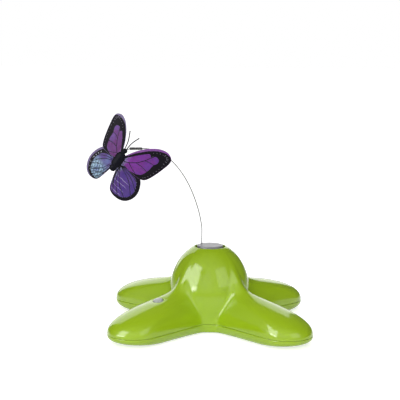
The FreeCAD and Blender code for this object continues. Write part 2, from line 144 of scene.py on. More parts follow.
def finished(form, name, body, slot, node=None, sharp_over=None, material=None):
    """Close a millimetre mesh, scale it to metres, and make it a piece that stands for a node."""
    bmesh.ops.remove_doubles(form, verts=form.verts, dist=0.0005)
    bmesh.ops.recalc_face_normals(form, faces=form.faces)
    bmesh.ops.scale(form, vec=(millimetre,) * 3, verts=form.verts)
    if sharp_over:
        form.normal_update()
        for edge in form.edges:
            edge.smooth = len(edge.link_faces) == 2 and edge.calc_face_angle(0) < math.radians(sharp_over)
    mesh = bpy.data.meshes.new(name)
    form.to_mesh(mesh)
    form.free()
    mesh.polygons.foreach_set("use_smooth", [True] * len(mesh.polygons))
    mesh.materials.append(material or finish[slot])
    piece = bpy.data.objects.new(name, mesh)
    bpy.context.collection.objects.link(piece)
    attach(piece, body)
    if node:
        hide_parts(node)
    print(name, len(mesh.polygons), "faces")
    return piece


# %% [markdown]
# ## Moulded plastics and metals
#
# A plain plastic still has life in it: the colour drifts a little, the gloss is uneven
# where it was handled, and the mould leaves a fine orange peel. Metals show drawn or
# brushed lines. One material maker holds these traits, and each finish sets how strong
# they are. Constant values go straight on the shader's sockets.

# %% Material helpers
def feed(node, inputs):
    """Link each input to its socket, or set its constant."""
    for name, value in inputs.items():
        if isinstance(value, bpy.types.NodeSocket):
            node.id_data.links.new(value, node.inputs[name])
        else:
            node.inputs[name].default_value = value


def add(tree, kind, inputs=None, **settings):
    """A shader node with its settings and inputs."""
    node = tree.nodes.new(kind)
    for name, value in settings.items():
        setattr(node, name, value)
    feed(node, inputs or {})
    return node


def mixed(tree, share, first, second, blend="MIX"):
    """A mix of two colours; the share and either colour may be a socket."""
    tints = [tint if isinstance(tint, bpy.types.NodeSocket) else (*tint, 1.0) for tint in (first, second)]
    return add(tree, "ShaderNodeMix", {0: share, 6: tints[0], 7: tints[1]},
               data_type="RGBA", blend_type=blend).outputs[2]


def ranged(tree, value, low, high, to_low, to_high, smooth=False):
    """Map a value from one range to another, held at the ends."""
    return add(tree, "ShaderNodeMapRange", {0: value, 1: low, 2: high, 3: to_low, 4: to_high},
               interpolation_type="SMOOTHSTEP" if smooth else "LINEAR").outputs[0]


def maths(tree, operation, first, second=0.0):
    return add(tree, "ShaderNodeMath", {0: first, 1: second}, operation=operation).outputs[0]


def object_place(tree):
    return add(tree, "ShaderNodeTexCoord").outputs["Object"]


def mapped(tree, place, scale=(1, 1, 1), turn=0.0):
    """Stretch a pattern, and turn it about Z by an angle in degrees."""
    return add(tree, "ShaderNodeMapping", {"Vector": place, "Scale": scale,
                                           "Rotation": (0, 0, math.radians(turn))}).outputs[0]


def noise(tree, place, scale, detail=2.0, roughness=0.5):
    return add(tree, "ShaderNodeTexNoise", {"Vector": place, "Scale": scale, "Detail": detail,
                                            "Roughness": roughness}).outputs["Fac"]


def bumped(tree, strength, depth, height):
    return add(tree, "ShaderNodeBump", {"Strength": strength, "Distance": depth, "Height": height}).outputs[0]


def start_material(name):
    """An empty node material with its tree and its shader."""
    material = bpy.data.materials.new(name)
    material.use_nodes = True
    return material, material.node_tree, material.node_tree.nodes["Principled BSDF"]


print("material helpers ready")


# %% Plastics
def surface(name, colour, drift_colour, gloss, grain, grain_depth=0.00001, shine=0.5, metal=0.0,
            stretch=(1, 1, 1)):
    """A plastic or metal: drifting colour, uneven gloss from low to high, and a grain.

    grain is the pattern's scale per metre and grain_depth the bump in metres."""
    material, tree, shader = start_material(name)
    place = mapped(tree, object_place(tree), stretch)
    drift = ranged(tree, noise(tree, place, 25.0, 3.0), 0.3, 0.7, 0.0, 1.0)
    handled = noise(tree, place, 150.0, 4.0, 0.6)
    feed(shader, {"Base Color": mixed(tree, drift, colour, drift_colour),
                  "Roughness": ranged(tree, handled, 0.35, 0.7, *gloss),
                  "Normal": bumped(tree, 1.0, grain_depth, noise(tree, place, grain)),
                  "Metallic": metal, "Specular IOR Level": shine})
    finish[name] = material


finish = {}
for plastic in (
        ("shell_green", (0.325, 0.500, 0.008), (0.345, 0.518, 0.014), (0.10, 0.16), 160, 0.000004),
        ("disc_grey", (0.215, 0.212, 0.228), (0.245, 0.24, 0.26), (0.34, 0.46), 1500),
        ("button_grey", (0.36, 0.375, 0.35), (0.40, 0.415, 0.39), (0.30, 0.42), 1800),
        ("foot_rubber", (0.022, 0.022, 0.024), (0.045, 0.044, 0.042), (0.62, 0.85), 1600, 0.00004),
        ("frame_white", (0.78, 0.78, 0.75), (0.84, 0.84, 0.82), (0.34, 0.48), 900),
        ("gear_white", (0.86, 0.84, 0.78), (0.80, 0.77, 0.68), (0.22, 0.42), 700),
        ("motor_cap", (0.035, 0.035, 0.04), (0.055, 0.055, 0.06), (0.42, 0.58), 1400, 0.00002),
        ("switch_black", (0.02, 0.02, 0.024), (0.035, 0.035, 0.04), (0.3, 0.45), 1500),
        ("body_black", (0.004, 0.004, 0.007), (0.008, 0.008, 0.012), (0.40, 0.55), 700, 0.00003, 0.04),
        ("sleeve_dark", (0.050, 0.050, 0.054), (0.075, 0.074, 0.076), (0.38, 0.52), 1800, 0.00002, 0.3)):
    surface(*plastic)
print("plastics", sorted(finish))

# %% Metals
for *traits, drawn in (
        ("motor_steel", (0.52, 0.52, 0.54), (0.62, 0.62, 0.63), (0.22, 0.36), 900, (1, 1, 14)),
        ("shaft_steel", (0.58, 0.58, 0.60), (0.66, 0.66, 0.67), (0.14, 0.28), 900, (1, 1, 12)),
        ("contact_steel", (0.66, 0.64, 0.60), (0.74, 0.73, 0.70), (0.16, 0.30), 1200, (1, 10, 1)),
        ("wire_steel", (0.17, 0.17, 0.18), (0.24, 0.24, 0.25), (0.26, 0.42), 2200, (1, 1, 0.2)),
        ("screw_steel", (0.50, 0.50, 0.51), (0.60, 0.60, 0.60), (0.22, 0.38), 2000, (1, 1, 1))):
    surface(*traits, metal=1.0, stretch=drawn)
print("with metals", len(finish))

# %% [markdown]
# ## Battery labels and circuit board
#
# The cells are standard AA cells with a plain two-tone sleeve. Their tone changes along
# the cell, so the pattern follows the X axis, turned about for the middle cell. The
# board's green lacquer shows fine copper tracks under it.

# %% Cells and board
def cell_label():
    material, tree, shader = start_material("battery_label")
    place = object_place(tree)
    axes = add(tree, "ShaderNodeSeparateXYZ", {0: place}).outputs
    outer = maths(tree, "GREATER_THAN", maths(tree, "ABSOLUTE", axes[1]), 0.0075)
    along = maths(tree, "MULTIPLY", axes[0], ranged(tree, outer, 0.0, 1.0, 1.0, -1.0))
    wrap = mixed(tree, maths(tree, "GREATER_THAN", along, 0.012), (0.012, 0.016, 0.024), (0.40, 0.16, 0.045))
    bare = maths(tree, "GREATER_THAN", maths(tree, "ABSOLUTE", along), 0.0235)
    colour = mixed(tree, bare, wrap, (0.62, 0.62, 0.62))
    scuffs = noise(tree, place, 420, 4.0, 0.7)
    worn = ranged(tree, scuffs, 0.62, 0.72, 0.0, 0.22)
    feed(shader, {"Base Color": mixed(tree, worn, colour, (0.5, 0.5, 0.5)),
                  "Metallic": maths(tree, "MULTIPLY", bare, 0.9),
                  "Roughness": ranged(tree, scuffs, 0.4, 0.7, 0.18, 0.40)})
    return material


def board_lacquer():
    material, tree, shader = start_material("board_green")
    place = mapped(tree, object_place(tree), turn=45)
    tracks = add(tree, "ShaderNodeTexBrick", {
        "Vector": place, "Scale": 260.0, "Mortar Size": 0.05, "Color1": (0.012, 0.10, 0.035, 1),
        "Color2": (0.014, 0.12, 0.04, 1), "Mortar": (0.05, 0.22, 0.07, 1)}).outputs
    feed(shader, {"Base Color": tracks["Color"],
                  "Roughness": ranged(tree, noise(tree, place, 300), 0.3, 0.7, 0.22, 0.38),
                  "Normal": bumped(tree, 0.6, 0.00005, tracks["Fac"])})
    return material


finish["battery_label"] = cell_label()
finish["board_green"] = board_lacquer()
print("label and board ready")

# %% [markdown]
# ## The casing's form
#
# The casing is a round dome that runs out into four arms. Seen from above, its outline is
# an arc round each arm's end, a straight flank and an arc in each hollow. Every point of
# the skin is found by looking from the middle of the seam along a bearing and a climb:
# the dome gives one distance and the arm another. The larger one counts, and where they
# are close a fillet joins them, wide on the arms' crests and tight in the hollows. An
# arm's back drops away beside its crest, and the dome draws in a little towards the seam.
# One rule then makes the outside, and with an inset the inside, so the wall is even.

# %% Dimensions of the casing in millimetres
arm_centre = 91.5           # from the middle to the centre of an arm's round end
arm_end_radius = 22.8
web_radius = 33.0           # from the middle to the hollow between two arms
web_fillet = 13.0
seam_height = 8.8           # the joint between the two shells
underside_height = 1.0
arm_rise = 33.1
arm_run_power = 1.15        # how fast an arm's crest falls towards its end
arm_rise_power = 2.3        # how round an arm's back is
arm_rounding = 0.20         # how far the arms' backs drop away beside their crests
crest_half_angle = 0.28
dome_radius = 35.8
dome_waist = 2.5            # how far the dome draws in from its shoulder to the seam
dome_shoulder = 21.2
dome_rise = 45.8
wall = 2.2
hollow_fillet = 3.5
crest_fillet = 36.0
casing_sides = 288
print("arms reach out to", arm_centre + arm_end_radius, "and hollows to", web_radius)


# %% Outline seen from above
def off_crest(bearing):
    """The angle between a bearing and the nearest arm's crest."""
    return abs((bearing + math.pi / 2) % (math.pi / 2) - math.pi / 4)


def plan_radius(bearing, inset=0.0):
    """How far the outline lies from the middle at this bearing."""
    end = arm_end_radius - inset
    hollow = web_fillet + inset
    web_centre = (web_radius + web_fillet) * math.sqrt(0.5)
    along = web_centre - arm_centre
    lean = math.atan2(web_centre, along)
    swing = math.acos((end + hollow) / math.hypot(web_centre, along))
    out_x = math.cos(lean - swing)
    out_y = math.sin(lean - swing)
    end_limit = math.atan2(out_y * end, arm_centre + out_x * end)
    flank_limit = math.atan2(web_centre - out_y * hollow, web_centre - out_x * hollow)
    off_arm = off_crest(bearing)
    if off_arm < end_limit:
        reach = end ** 2 - (arm_centre * math.sin(off_arm)) ** 2
        return arm_centre * math.cos(off_arm) + math.sqrt(max(reach, 0))
    if off_arm < flank_limit:
        flank = out_x * (arm_centre + out_x * end) + out_y * out_y * end
        return flank / (math.cos(off_arm) * out_x + math.sin(off_arm) * out_y)
    off_web = math.pi / 4 - off_arm
    far = web_radius + web_fillet
    reach = hollow ** 2 - (far * math.sin(off_web)) ** 2
    return far * math.cos(off_web) - math.sqrt(max(reach, 0))


print("outline 20 degrees off a crest at", round(plan_radius(math.radians(25)), 1))


# %% Dome, arms and skin
def dome_reach(climb, inset):
    """Distance to the dome: a side that draws in downwards, under an elliptical top."""
    radius = dome_radius - inset
    if radius * math.tan(climb) <= dome_shoulder:
        slope = math.sin(climb) / dome_shoulder
        foot = radius - dome_waist
        linear = math.cos(climb) - 2 * dome_waist * slope
        return 2 * foot / (linear + math.sqrt(linear ** 2 + 4 * dome_waist * slope ** 2 * foot))
    rise = dome_rise - inset
    square = (math.cos(climb) / radius) ** 2 + (math.sin(climb) / rise) ** 2
    linear = -2 * math.sin(climb) * dome_shoulder / rise ** 2
    rest = (dome_shoulder / rise) ** 2 - 1
    return (-linear + math.sqrt(linear ** 2 - 4 * square * rest)) / (2 * square)


def crest_share(bearing):
    """1 on an arm's crest, falling towards 0 in the hollows."""
    return math.exp(-(off_crest(bearing) / crest_half_angle) ** 2)


def arm_reach(bearing, climb, inset):
    """Halve the interval until the arm's back is found along this line of sight."""
    radius = plan_radius(bearing, inset)
    top = (arm_rise - inset) * (1 - arm_rounding * (1 - crest_share(bearing)))
    near, far = 0.0, radius / math.cos(climb) + 1.0
    for _ in range(40):
        middle = (near + far) / 2
        run = (middle * math.cos(climb) / radius) ** arm_run_power
        rise = (middle * math.sin(climb) / top) ** arm_rise_power
        near, far = (middle, far) if run + rise < 1 else (near, middle)
    return near


def casing_point(bearing, climb, inset=0.0):
    """A point of the skin: radius from the axis, and height."""
    dome = dome_reach(climb, inset)
    arm = arm_reach(bearing, climb, inset)
    fillet = hollow_fillet + (crest_fillet - hollow_fillet) * crest_share(bearing)
    overlap = max(0.0, 1 - abs(dome - arm) / fillet)
    reach = max(dome, arm) + fillet * overlap ** 3 / 6
    return reach * math.cos(climb), seam_height + reach * math.sin(climb)


def seam_radius(bearing, inset=0.0):
    """How far out the seam lies at this bearing."""
    return casing_point(bearing, 0.0, inset)[0]


def bearing_of(co):
    return math.atan2(co.y, co.x)


def at(bearing, radius, height=0):
    return Vector((radius * math.cos(bearing), radius * math.sin(bearing), height))


print("arm tip at", round(seam_radius(math.pi / 4), 1), "web at", round(seam_radius(0), 1))

# %% [markdown]
# ## Upper shell
#
# The upper shell is one moulding. It could be cut from a solid with Booleans, but those
# leave ragged faces that show in a gloss finish. Instead one ring of corners at the seam
# is extruded level by level up the outside, rolled over the rim of the opening, and
# brought down the inside as a wall. The corners are closer together near the arms' ends,
# where the outline turns fastest. The seam's edge is rounded, with a rabbet inside it.

# %% Upper shell
seam_gap = 0.35
gap_fade = 60.0             # the height above the seam where the lift for the gap ends
bunching = 0.6              # 0 spaces the corners evenly, 1 draws them to the arms' ends
outer_levels, outer_climb = 60, 76.8                        # climbs in degrees
inner_levels, inner_foot, inner_climb = 18, 3.0, 71.0
opening_rim = ((14.25, 71.93), (13.9, 72.02), (13.68, 71.93), (13.6, 71.6), (13.55, 66.0), (13.7, 65.8),
               (15.3, 65.8), (15.5, 66.2))      # radius and height, rolled over and down


def spread(turn):
    """Bring an even circle's corners closer together at the arms' ends."""
    return turn + math.pi / 4 - bunching * math.sin(4 * turn) / 4


def along_seam(inset, height):
    """A rule that keeps a corner's bearing and puts it on the seam's outline."""
    return lambda co: at(bearing_of(co), seam_radius(bearing_of(co), inset), height)


def seam_ring(form, height):
    """The rounded seam edge's first ring, which the outside and the inside grow from."""
    return ring(form, casing_sides, lambda b: at(spread(b), seam_radius(spread(b), 0.5), height))


def on_casing(climb, inset=0.0):
    """A rule for the skin, lifted to leave the seam's gap; the lift fades on the way up."""
    def place(co):
        radius, height = casing_point(bearing_of(co), math.radians(climb), inset)
        lift = seam_gap * max(0.0, 1 - (height - seam_height) / gap_fade)
        return at(bearing_of(co), radius, height + lift)
    return place


def make_upper_skin(form):
    start = seam_ring(form, seam_height + 0.10)
    rim = grow(form, start, along_seam(0.12, seam_height + 0.15))
    for level in range(outer_levels + 1):
        rim = grow(form, rim, on_casing(outer_climb * (level / outer_levels) ** 1.4))
    for radius, height in opening_rim:
        rim = grow(form, rim, lambda co: at(bearing_of(co), radius, height))
    for level in range(inner_levels, -1, -1):
        rim = grow(form, rim, on_casing(inner_foot + inner_climb * (level / inner_levels) ** 1.2, wall))
    for inset, rise in ((wall, 1.7), (1.15, 1.7), (1.1, 0.1)):
        rim = grow(form, rim, along_seam(inset, seam_height + rise))
    bmesh.ops.bridge_loops(form, edges=rim + start)


upper = bmesh.new()
make_upper_skin(upper)
print("upper shell corners", len(upper.verts))

# %% [markdown]
# The power button's hole goes through one arm, square to its back. The corners inside the
# hole's circle are deleted, the ragged edge that this leaves is drawn onto a true circle,
# rounded over, and joined to the same circle on the inside.

# %% Button hole
button_bearing = math.radians(-135.0)
button_distance = 63.5
button_hole_radius = 4.8
slope_step = 0.1


def crest_height(distance):
    """Height of the arm's crest at this distance from the middle."""
    share = distance / (arm_centre + arm_end_radius)
    return seam_height + arm_rise * (1 - share ** arm_run_power) ** (1 / arm_rise_power)


crest_slope = (crest_height(button_distance + slope_step)
               - crest_height(button_distance - slope_step)) / (2 * slope_step)
button_axis = at(button_bearing, -crest_slope, 1).normalized()
button_place = at(button_bearing, button_distance, crest_height(button_distance))


def off_axis(co):
    """Split a point into its depth along the button's axis and its place across it."""
    depth = (co - button_place).dot(button_axis)
    return depth, co - button_place - button_axis * depth


def skin_height(co, inset):
    """Height of the skin above a point of the floor, found by halving the climb."""
    low, high = 0.0, math.radians(85)
    for _ in range(40):
        middle = (low + high) / 2
        outside = casing_point(bearing_of(co), middle, inset)[0] > math.hypot(co.x, co.y)
        low, high = (middle, high) if outside else (low, middle)
    return casing_point(bearing_of(co), low, inset)[1]


def on_hole(radius, drop, inset=0.0):
    """A rule that puts a corner on the hole's circle, this far below the skin."""
    def place(co):
        spot = button_place + off_axis(co)[1].normalized() * radius
        spot += button_axis * ((skin_height(spot, inset) - spot.z) / button_axis.z)
        return spot - button_axis * drop
    return place


def cut_button_hole(form):
    cut_radius, cut_depth = button_hole_radius + 1.0, 6.0
    doomed = [vert for vert in form.verts
              if off_axis(vert.co)[1].length < cut_radius and abs(off_axis(vert.co)[0]) < cut_depth]
    bmesh.ops.delete(form, geom=doomed, context="VERTS")
    depth = {edge: off_axis(edge.verts[0].co)[0] for edge in form.edges if edge.is_boundary}
    middle = (max(depth.values()) + min(depth.values())) / 2
    outer = [edge for edge in depth if depth[edge] > middle]
    inner = [edge for edge in depth if depth[edge] <= middle]
    for rim, radius, inset in ((outer, button_hole_radius + 0.35, 0.0), (inner, button_hole_radius, wall)):
        for vert in {vert for edge in rim for vert in edge.verts}:
            vert.co = on_hole(radius, 0.0, inset)(vert.co)
    for radius, drop in ((button_hole_radius + 0.08, 0.10), (button_hole_radius, 0.4)):
        outer = grow(form, outer, on_hole(radius, drop))
    bmesh.ops.bridge_loops(form, edges=outer + inner)


cut_button_hole(upper)
print("button at", [round(v, 2) for v in button_place])

# %% [markdown]
# Inside the upper shell stand four hollow posts for the casing screws and two small posts
# that hold the switch board. They are hidden when the toy is shut, so plain tubes with a
# rounded mouth are enough.

# %% Posts inside the upper shell
screw_distance = 80.0
arm_bearings = [math.radians(45 + 90 * index) for index in range(4)]
post_radius = 3.6
post_bore = 1.5
bore_depth = 6.0
post_foot = seam_height + 0.1
post_inset = 1.2            # how far below the skin's outside a post ends

for bearing in arm_bearings:
    place = at(bearing, screw_distance)
    top = skin_height(place, 0.0) - post_inset
    spun_profile(upper, ((0, post_foot + bore_depth), (post_bore, post_foot + bore_depth),
                         (post_bore, post_foot + 0.2), (post_bore + 0.2, post_foot),
                         (post_radius - 0.3, post_foot), (post_radius, post_foot + 0.3),
                         (post_radius, top), (0, top)), 28, place)
board_side = at(button_bearing + math.pi / 2, 8.0)
for place in (button_place - board_side, button_place + board_side):
    spun_profile(upper, ((0, -14.2), (1.4, -14.2), (1.6, -14.0), (1.6, -2.6), (0, -2.6)), 20,
                 place, button_axis)
finished(upper, "upper_shell_skin", "casing", "shell_green", "upper_shell", sharp_over=50)

# %% [markdown]
# ## Lower shell
#
# The lower shell curls in under the arms and ends in a flat underside that the feet hold
# a millimetre off the floor. Its rim carries a tongue that fits into the upper shell's
# rabbet. The underside is a flat face with holes in it: the battery opening with its
# screw ear, four feet recesses and four screw wells. `triangle_fill` closes the face
# between such loops, and each loop is extruded to make its recess.

# %% Lower shell helpers
arm_draw = 26.7      # how far an arm's end draws in towards the flat underside
web_draw = 3.0
curl_power = 1.3     # above 1, the curl starts steeper and ends flatter


def curled(turn, inset, floor):
    """A rule for the quarter round under the arms, at this share of the turn."""
    def place(co):
        bearing = bearing_of(co)
        slim = (plan_radius(bearing) - web_radius) / (arm_centre + arm_end_radius - web_radius)
        draw = web_draw + (arm_draw - web_draw) * math.sin(slim * math.pi / 2)
        curl = turn * math.pi / 2
        top = seam_height - seam_gap
        return at(bearing, seam_radius(bearing, inset) - draw * (1 - math.cos(curl)) ** curl_power,
                  top - (top - floor) * math.sin(curl))
    return place


def curl_under(form, rim, levels, inset, floor):
    for level in range(levels + 1):
        rim = grow(form, rim, curled(level / levels, inset, floor))
    return rim


def loop(form, points, height):
    """A closed loop of edges through points of the plan."""
    verts = [form.verts.new((x, y, height)) for x, y in points]
    return [form.edges.new((a, b)) for a, b in zip(verts, verts[1:] + verts[:1])]


def arc(place, radius, sides, start, turn):
    """Points of the plan along an arc, both ends included."""
    angles = [start + turn * step / sides for step in range(sides + 1)]
    return [(place.x + radius * math.cos(angle), place.y + radius * math.sin(angle)) for angle in angles]


def circle(place, radius, sides):
    return arc(place, radius, sides, 0.0, math.tau)[:-1]


def rectangle(half_length, half_width, corner=1.0):
    """A rectangle with rounded corners, anticlockwise."""
    points = []
    for index, (x, y) in enumerate(((1, -1), (1, 1), (-1, 1), (-1, -1))):
        centre = Vector((x * (half_length - corner), y * (half_width - corner)))
        points += arc(centre, corner, 5, (index - 1) * math.pi / 2, math.pi / 2)
    return points


def lifted(rise):
    return lambda co: co + Vector((0, 0, rise))


print("flat underside begins", round(seam_radius(math.pi / 4) - arm_draw, 1), "mm out on an arm")

# %% Lower shell
door_half_length = 26.3
door_half_width = 20.8
door_gap = 0.2
door_ear = Vector((0, 26.3, 0))
door_ear_radius = 3.6
bay_half_length = 28.5
bay_half_width = 23.0
bay_ceiling = 18.6
bay_wall = 1.6
ledge_width = 0.8
ledge_depth = 1.0
ledge_thickness = 1.2
pilot_radius = 1.2
pilot_depth = 0.9
foot_radius = 6.0
foot_distance = 60.0
foot_recess = 1.0
inner_floor = underside_height + wall


def door_outline():
    """The battery opening: a rectangle with a round ear for the screw."""
    ear = door_ear_radius + door_gap
    foot = door_half_width + door_gap
    points = rectangle(door_half_length + door_gap, foot)
    split = next(i for i, (x, y) in enumerate(points) if x < 0 and y > 0)
    tongue = [(ear, foot)] + arc(door_ear, ear, 14, 0.0, math.pi) + [(-ear, foot)]
    return points[:split] + tongue + points[split:]


def make_lower_skin(form):
    """The curled outside and the inside, both open at the flat floor; returns their rims."""
    start = seam_ring(form, seam_height - 0.10)
    outer = grow(form, start, along_seam(0.12, seam_height - 0.15))
    outer = curl_under(form, outer, 14, 0.0, underside_height)
    inner = start
    for inset, rise in ((1.25, -0.1), (1.3, 1.2), (1.45, 1.35), (wall, 1.35)):
        inner = grow(form, inner, along_seam(inset, seam_height + rise))
    return outer, curl_under(form, inner, 6, wall, inner_floor)


lower = bmesh.new()
outer_rim, inner_rim = make_lower_skin(lower)
print("lower shell rims", len(outer_rim), len(inner_rim))

# %% [markdown]
# Now the recesses. Each starts as a loop on the underside. The battery opening steps in
# to a ledge that the door lies on, then widens into the bay that holds three cells. A
# screw well goes up to a step for the screw's head and on through its boss.

# %% Recesses of the underside
well_radius = 3.5
well_depth = 4.2
well_bore = 1.6
boss_radius = 4.8


def fill(form, edges):
    bmesh.ops.triangle_fill(form, use_beauty=True, use_dissolve=False, edges=edges)


def make_bay(form, opening):
    """Ledge for the door, then the bay's walls and ceiling, as seen from below."""
    sides = grow(form, opening, lifted(ledge_depth))
    ledge_height = underside_height + ledge_depth
    ledge = loop(form, rectangle(door_half_length - ledge_width, door_half_width - ledge_width), ledge_height)
    pilot = loop(form, circle(door_ear, pilot_radius, 20), ledge_height)
    fill(form, sides + ledge + pilot)
    cap(form, grow(form, pilot, lifted(pilot_depth)))
    wider = bay_half_length - door_half_length + ledge_width
    deeper = bay_half_width - door_half_width + ledge_width
    rim = grow(form, ledge, lifted(ledge_thickness))
    rim = grow(form, rim, lambda co: co + Vector((math.copysign(wider, co.x),
                                                  math.copysign(deeper, co.y), 0)))
    cap(form, grow(form, rim, lambda co: Vector((co.x, co.y, bay_ceiling))))


def make_well(form, rim, boss, place):
    """A screw's well from below, and the boss round it inside."""
    rim = grow(form, rim, lifted(well_depth))
    step = place + Vector((0, 0, underside_height + well_depth))
    rim = grow(form, rim, lambda co: step + (co - step) * (well_bore / well_radius))
    rim = grow(form, rim, lifted(seam_height - underside_height - well_depth))
    boss = grow(form, boss, lifted(seam_height - inner_floor))
    bmesh.ops.bridge_loops(form, edges=rim + boss)


def make_underside(form, below, above):
    opening = loop(form, door_outline(), underside_height)
    bay_top = loop(form, rectangle(bay_half_length + bay_wall, bay_half_width + bay_wall), inner_floor)
    below, above = below + opening, above + bay_top
    feet, wells = [], []
    for bearing in arm_bearings:
        feet.append(loop(form, circle(at(bearing, foot_distance), foot_radius + 0.2, 40), underside_height))
        place = at(bearing, screw_distance)
        well = loop(form, circle(place, well_radius, 32), underside_height)
        boss = loop(form, circle(place, boss_radius, 32), inner_floor)
        wells.append((well, boss, place))
        below, above = below + feet[-1] + well, above + boss
    fill(form, below)
    fill(form, above)
    make_bay(form, opening)
    cap(form, grow(form, bay_top, lambda co: Vector((co.x, co.y, bay_ceiling + bay_wall))))
    for foot in feet:
        cap(form, grow(form, foot, lifted(foot_recess)))
    for well in wells:
        make_well(form, *well)


make_underside(lower, outer_rim, inner_rim)
finished(lower, "lower_shell_skin", "casing", "shell_green", "base_shell", sharp_over=40)

# %% [markdown]
# ## Feet and screws
#
# Each foot is a soft rubber button glued into its recess, with a rounded edge and a
# shallow dish. The screws are small pan heads with a cross recess, deep in their wells.
# The cross could be cut with a Boolean, but at this size two thin bars let into the head
# read the same and stay light.

# %% Rubber feet
feet = bmesh.new()
for bearing in arm_bearings:
    spun_profile(feet, ((0, 0.35), (3.6, 0.3), (4.3, 0.0), (5.2, 0.0), (5.8, 0.25), (foot_radius, 0.8),
                        (foot_radius, 1.9), (0, 1.9)), 48, at(bearing, foot_distance))
finished(feet, "rubber_feet_soft", "casing", "foot_rubber", "rubber_feet", sharp_over=50)


# %% Screws
def add_screw(form, place, axis, head, shank, length):
    """Pan-head screw whose head faces along the axis, with a cross in it."""
    spun_profile(form, ((0, 0.55 * head), (0.45 * head, 0.52 * head), (0.8 * head, 0.38 * head),
                        (head, 0.08 * head), (head, 0), (shank, 0), (shank, -length), (0, -length - shank)),
                 32, place, axis)
    stand = Matrix.Translation(place) @ upward.rotation_difference(axis).to_matrix().to_4x4()
    shape = Matrix.Translation((0, 0, 0.5 * head)) @ Matrix.Diagonal((1.1 * head, 0.22 * head, 0.2 * head, 1))
    for quarter in (0, math.pi / 2):
        bar = bmesh.ops.create_cube(form, size=1.0)["verts"]
        bmesh.ops.transform(form, matrix=stand @ Matrix.Rotation(quarter, 4, "Z") @ shape, verts=bar)


screw_seat = 5.1            # a little below the step in the well
gearbox_top = 60.25
casing_screws = bmesh.new()
for bearing in arm_bearings:
    add_screw(casing_screws, at(bearing, screw_distance, screw_seat), -upward, 2.7, 1.3, 9.0)
for bearing, radius in ((40, 17.0), (195, 18.5), (255, 18.5)):
    add_screw(casing_screws, at(math.radians(bearing), radius, gearbox_top), upward, 1.9, 1.0, 5.0)
finished(casing_screws, "casing_screws", "casing", "contact_steel", sharp_over=35,
         material=finish["screw_steel"])

door_screw = bmesh.new()
add_screw(door_screw, door_ear + Vector((0, 0, 0.95)), -upward, 1.7, 0.95, 1.6)
finished(door_screw, "door_screw", "door", "contact_steel", sharp_over=35, material=finish["screw_steel"])

# %% [markdown]
# ## Turntable disc
#
# The grey disc turns just above the rim of the dome. It is a turned shape: a flat top with
# a soft edge, a hub that grips the output shaft, and a small raised collar where the wire
# is pressed in. Spinning a profile gives the disc, and two more the collar and its socket.

# %% Turntable disc
disc_radius = 11.8
disc_top = 73.2
socket_place = Vector((-7.4, 4.5, 0))
disc = bmesh.new()
spun_profile(disc, ((0, disc_top), (9.6, disc_top), (10.9, disc_top - 0.06), (11.5, disc_top - 0.3),
                    (disc_radius, disc_top - 0.8), (disc_radius, disc_top - 1.5), (11.5, disc_top - 1.8),
                    (3.4, disc_top - 1.8), (3.4, 65.4), (3.2, 65.2), (1.55, 65.2), (1.55, disc_top - 1.75),
                    (0, disc_top - 1.75)), 96)
spun_profile(disc, ((0.42, disc_top + 0.02), (0.42, disc_top + 0.3), (0.8, disc_top + 0.35),
                    (1.3, disc_top + 0.15), (1.5, disc_top - 0.05), (1.5, disc_top - 1.0),
                    (0.42, disc_top - 1.0), (0.42, disc_top + 0.02)), 32, socket_place)
spun_profile(disc, ((0, 71.5), (2.0, 71.5), (2.0, 66.6), (1.8, 66.4), (0, 66.4)), 28, socket_place)
finished(disc, "turntable_disc_soft", "turntable", "disc_grey", "turntable_disc", sharp_over=40)

# %% [markdown]
# ## Power button
#
# A round cap with a gently domed top stands a little proud of the arm. A flange below the
# wall keeps it in, and a stem reaches down to the switch. It is spun about the hole's own
# axis, so it slides straight.

# %% Power button
button_radius = 4.3
button = bmesh.new()
spun_profile(button, ((0, 0.9), (1.6, 0.86), (2.8, 0.70), (3.6, 0.46), (4.05, 0.16), (button_radius, -0.3),
                      (button_radius, -3.7), (5.5, -3.7), (5.6, -3.8), (5.6, -4.5), (5.5, -4.6), (1.1, -4.6),
                      (1.1, -10.6), (0.9, -10.8), (0, -10.8)), 64, button_place, button_axis)
finished(button, "power_button_cap", "button", "button_grey", "power_button", sharp_over=50)

# %% [markdown]
# ## Flight wire
#
# The wire is spring steel, straight out of its socket and then bent into a wide arc. It is
# stiff and keeps its shape, so it is a solid piece, not a loose cord. A circle is
# extruded for the straight runs and spun about each bend's centre for the bends, which
# keeps the wire round everywhere.

# %% Flight wire
wire_radius = 0.40
wire_foot = 67.4
wire_straight_top = 85.5
wire_sideways = upward.cross(at(math.radians(-107.9), 1))      # square to the plane that it leans out in
wire_bends = ((10.0, 24.4, 8), (73.8, 16.3, 10), (171.7, 16.8, 16), (236.6, 26.2, 28))   # radius, turn, steps
sleeve_end_run = 28.5
link_depth = 4.0


def make_wire(form):
    """Returns the place where the last bend ends and the wire's heading there."""
    rim = ring(form, 14, lambda b: socket_place + at(b, wire_radius, wire_foot))
    cap(form, list(rim))
    rim = grow(form, rim, lifted(wire_straight_top - wire_foot))
    place = socket_place + upward * wire_straight_top
    heading = upward
    for radius, turn, steps in wire_bends:
        centre = place + wire_sideways.cross(heading) * radius
        verts = list({vert for edge in rim for vert in edge.verts})
        made = bmesh.ops.spin(form, geom=verts + rim, cent=centre, axis=wire_sideways, dvec=(0, 0, 0),
                              angle=math.radians(turn), steps=steps, use_merge=False, use_duplicate=False)
        rim = [part for part in made["geom_last"] if isinstance(part, bmesh.types.BMEdge)]
        swing = Matrix.Rotation(math.radians(turn), 3, wire_sideways)
        place = centre + swing @ (place - centre)
        heading = swing @ heading
    cap(form, grow(form, rim, lambda co: co + heading * (sleeve_end_run - link_depth)))
    return place, heading


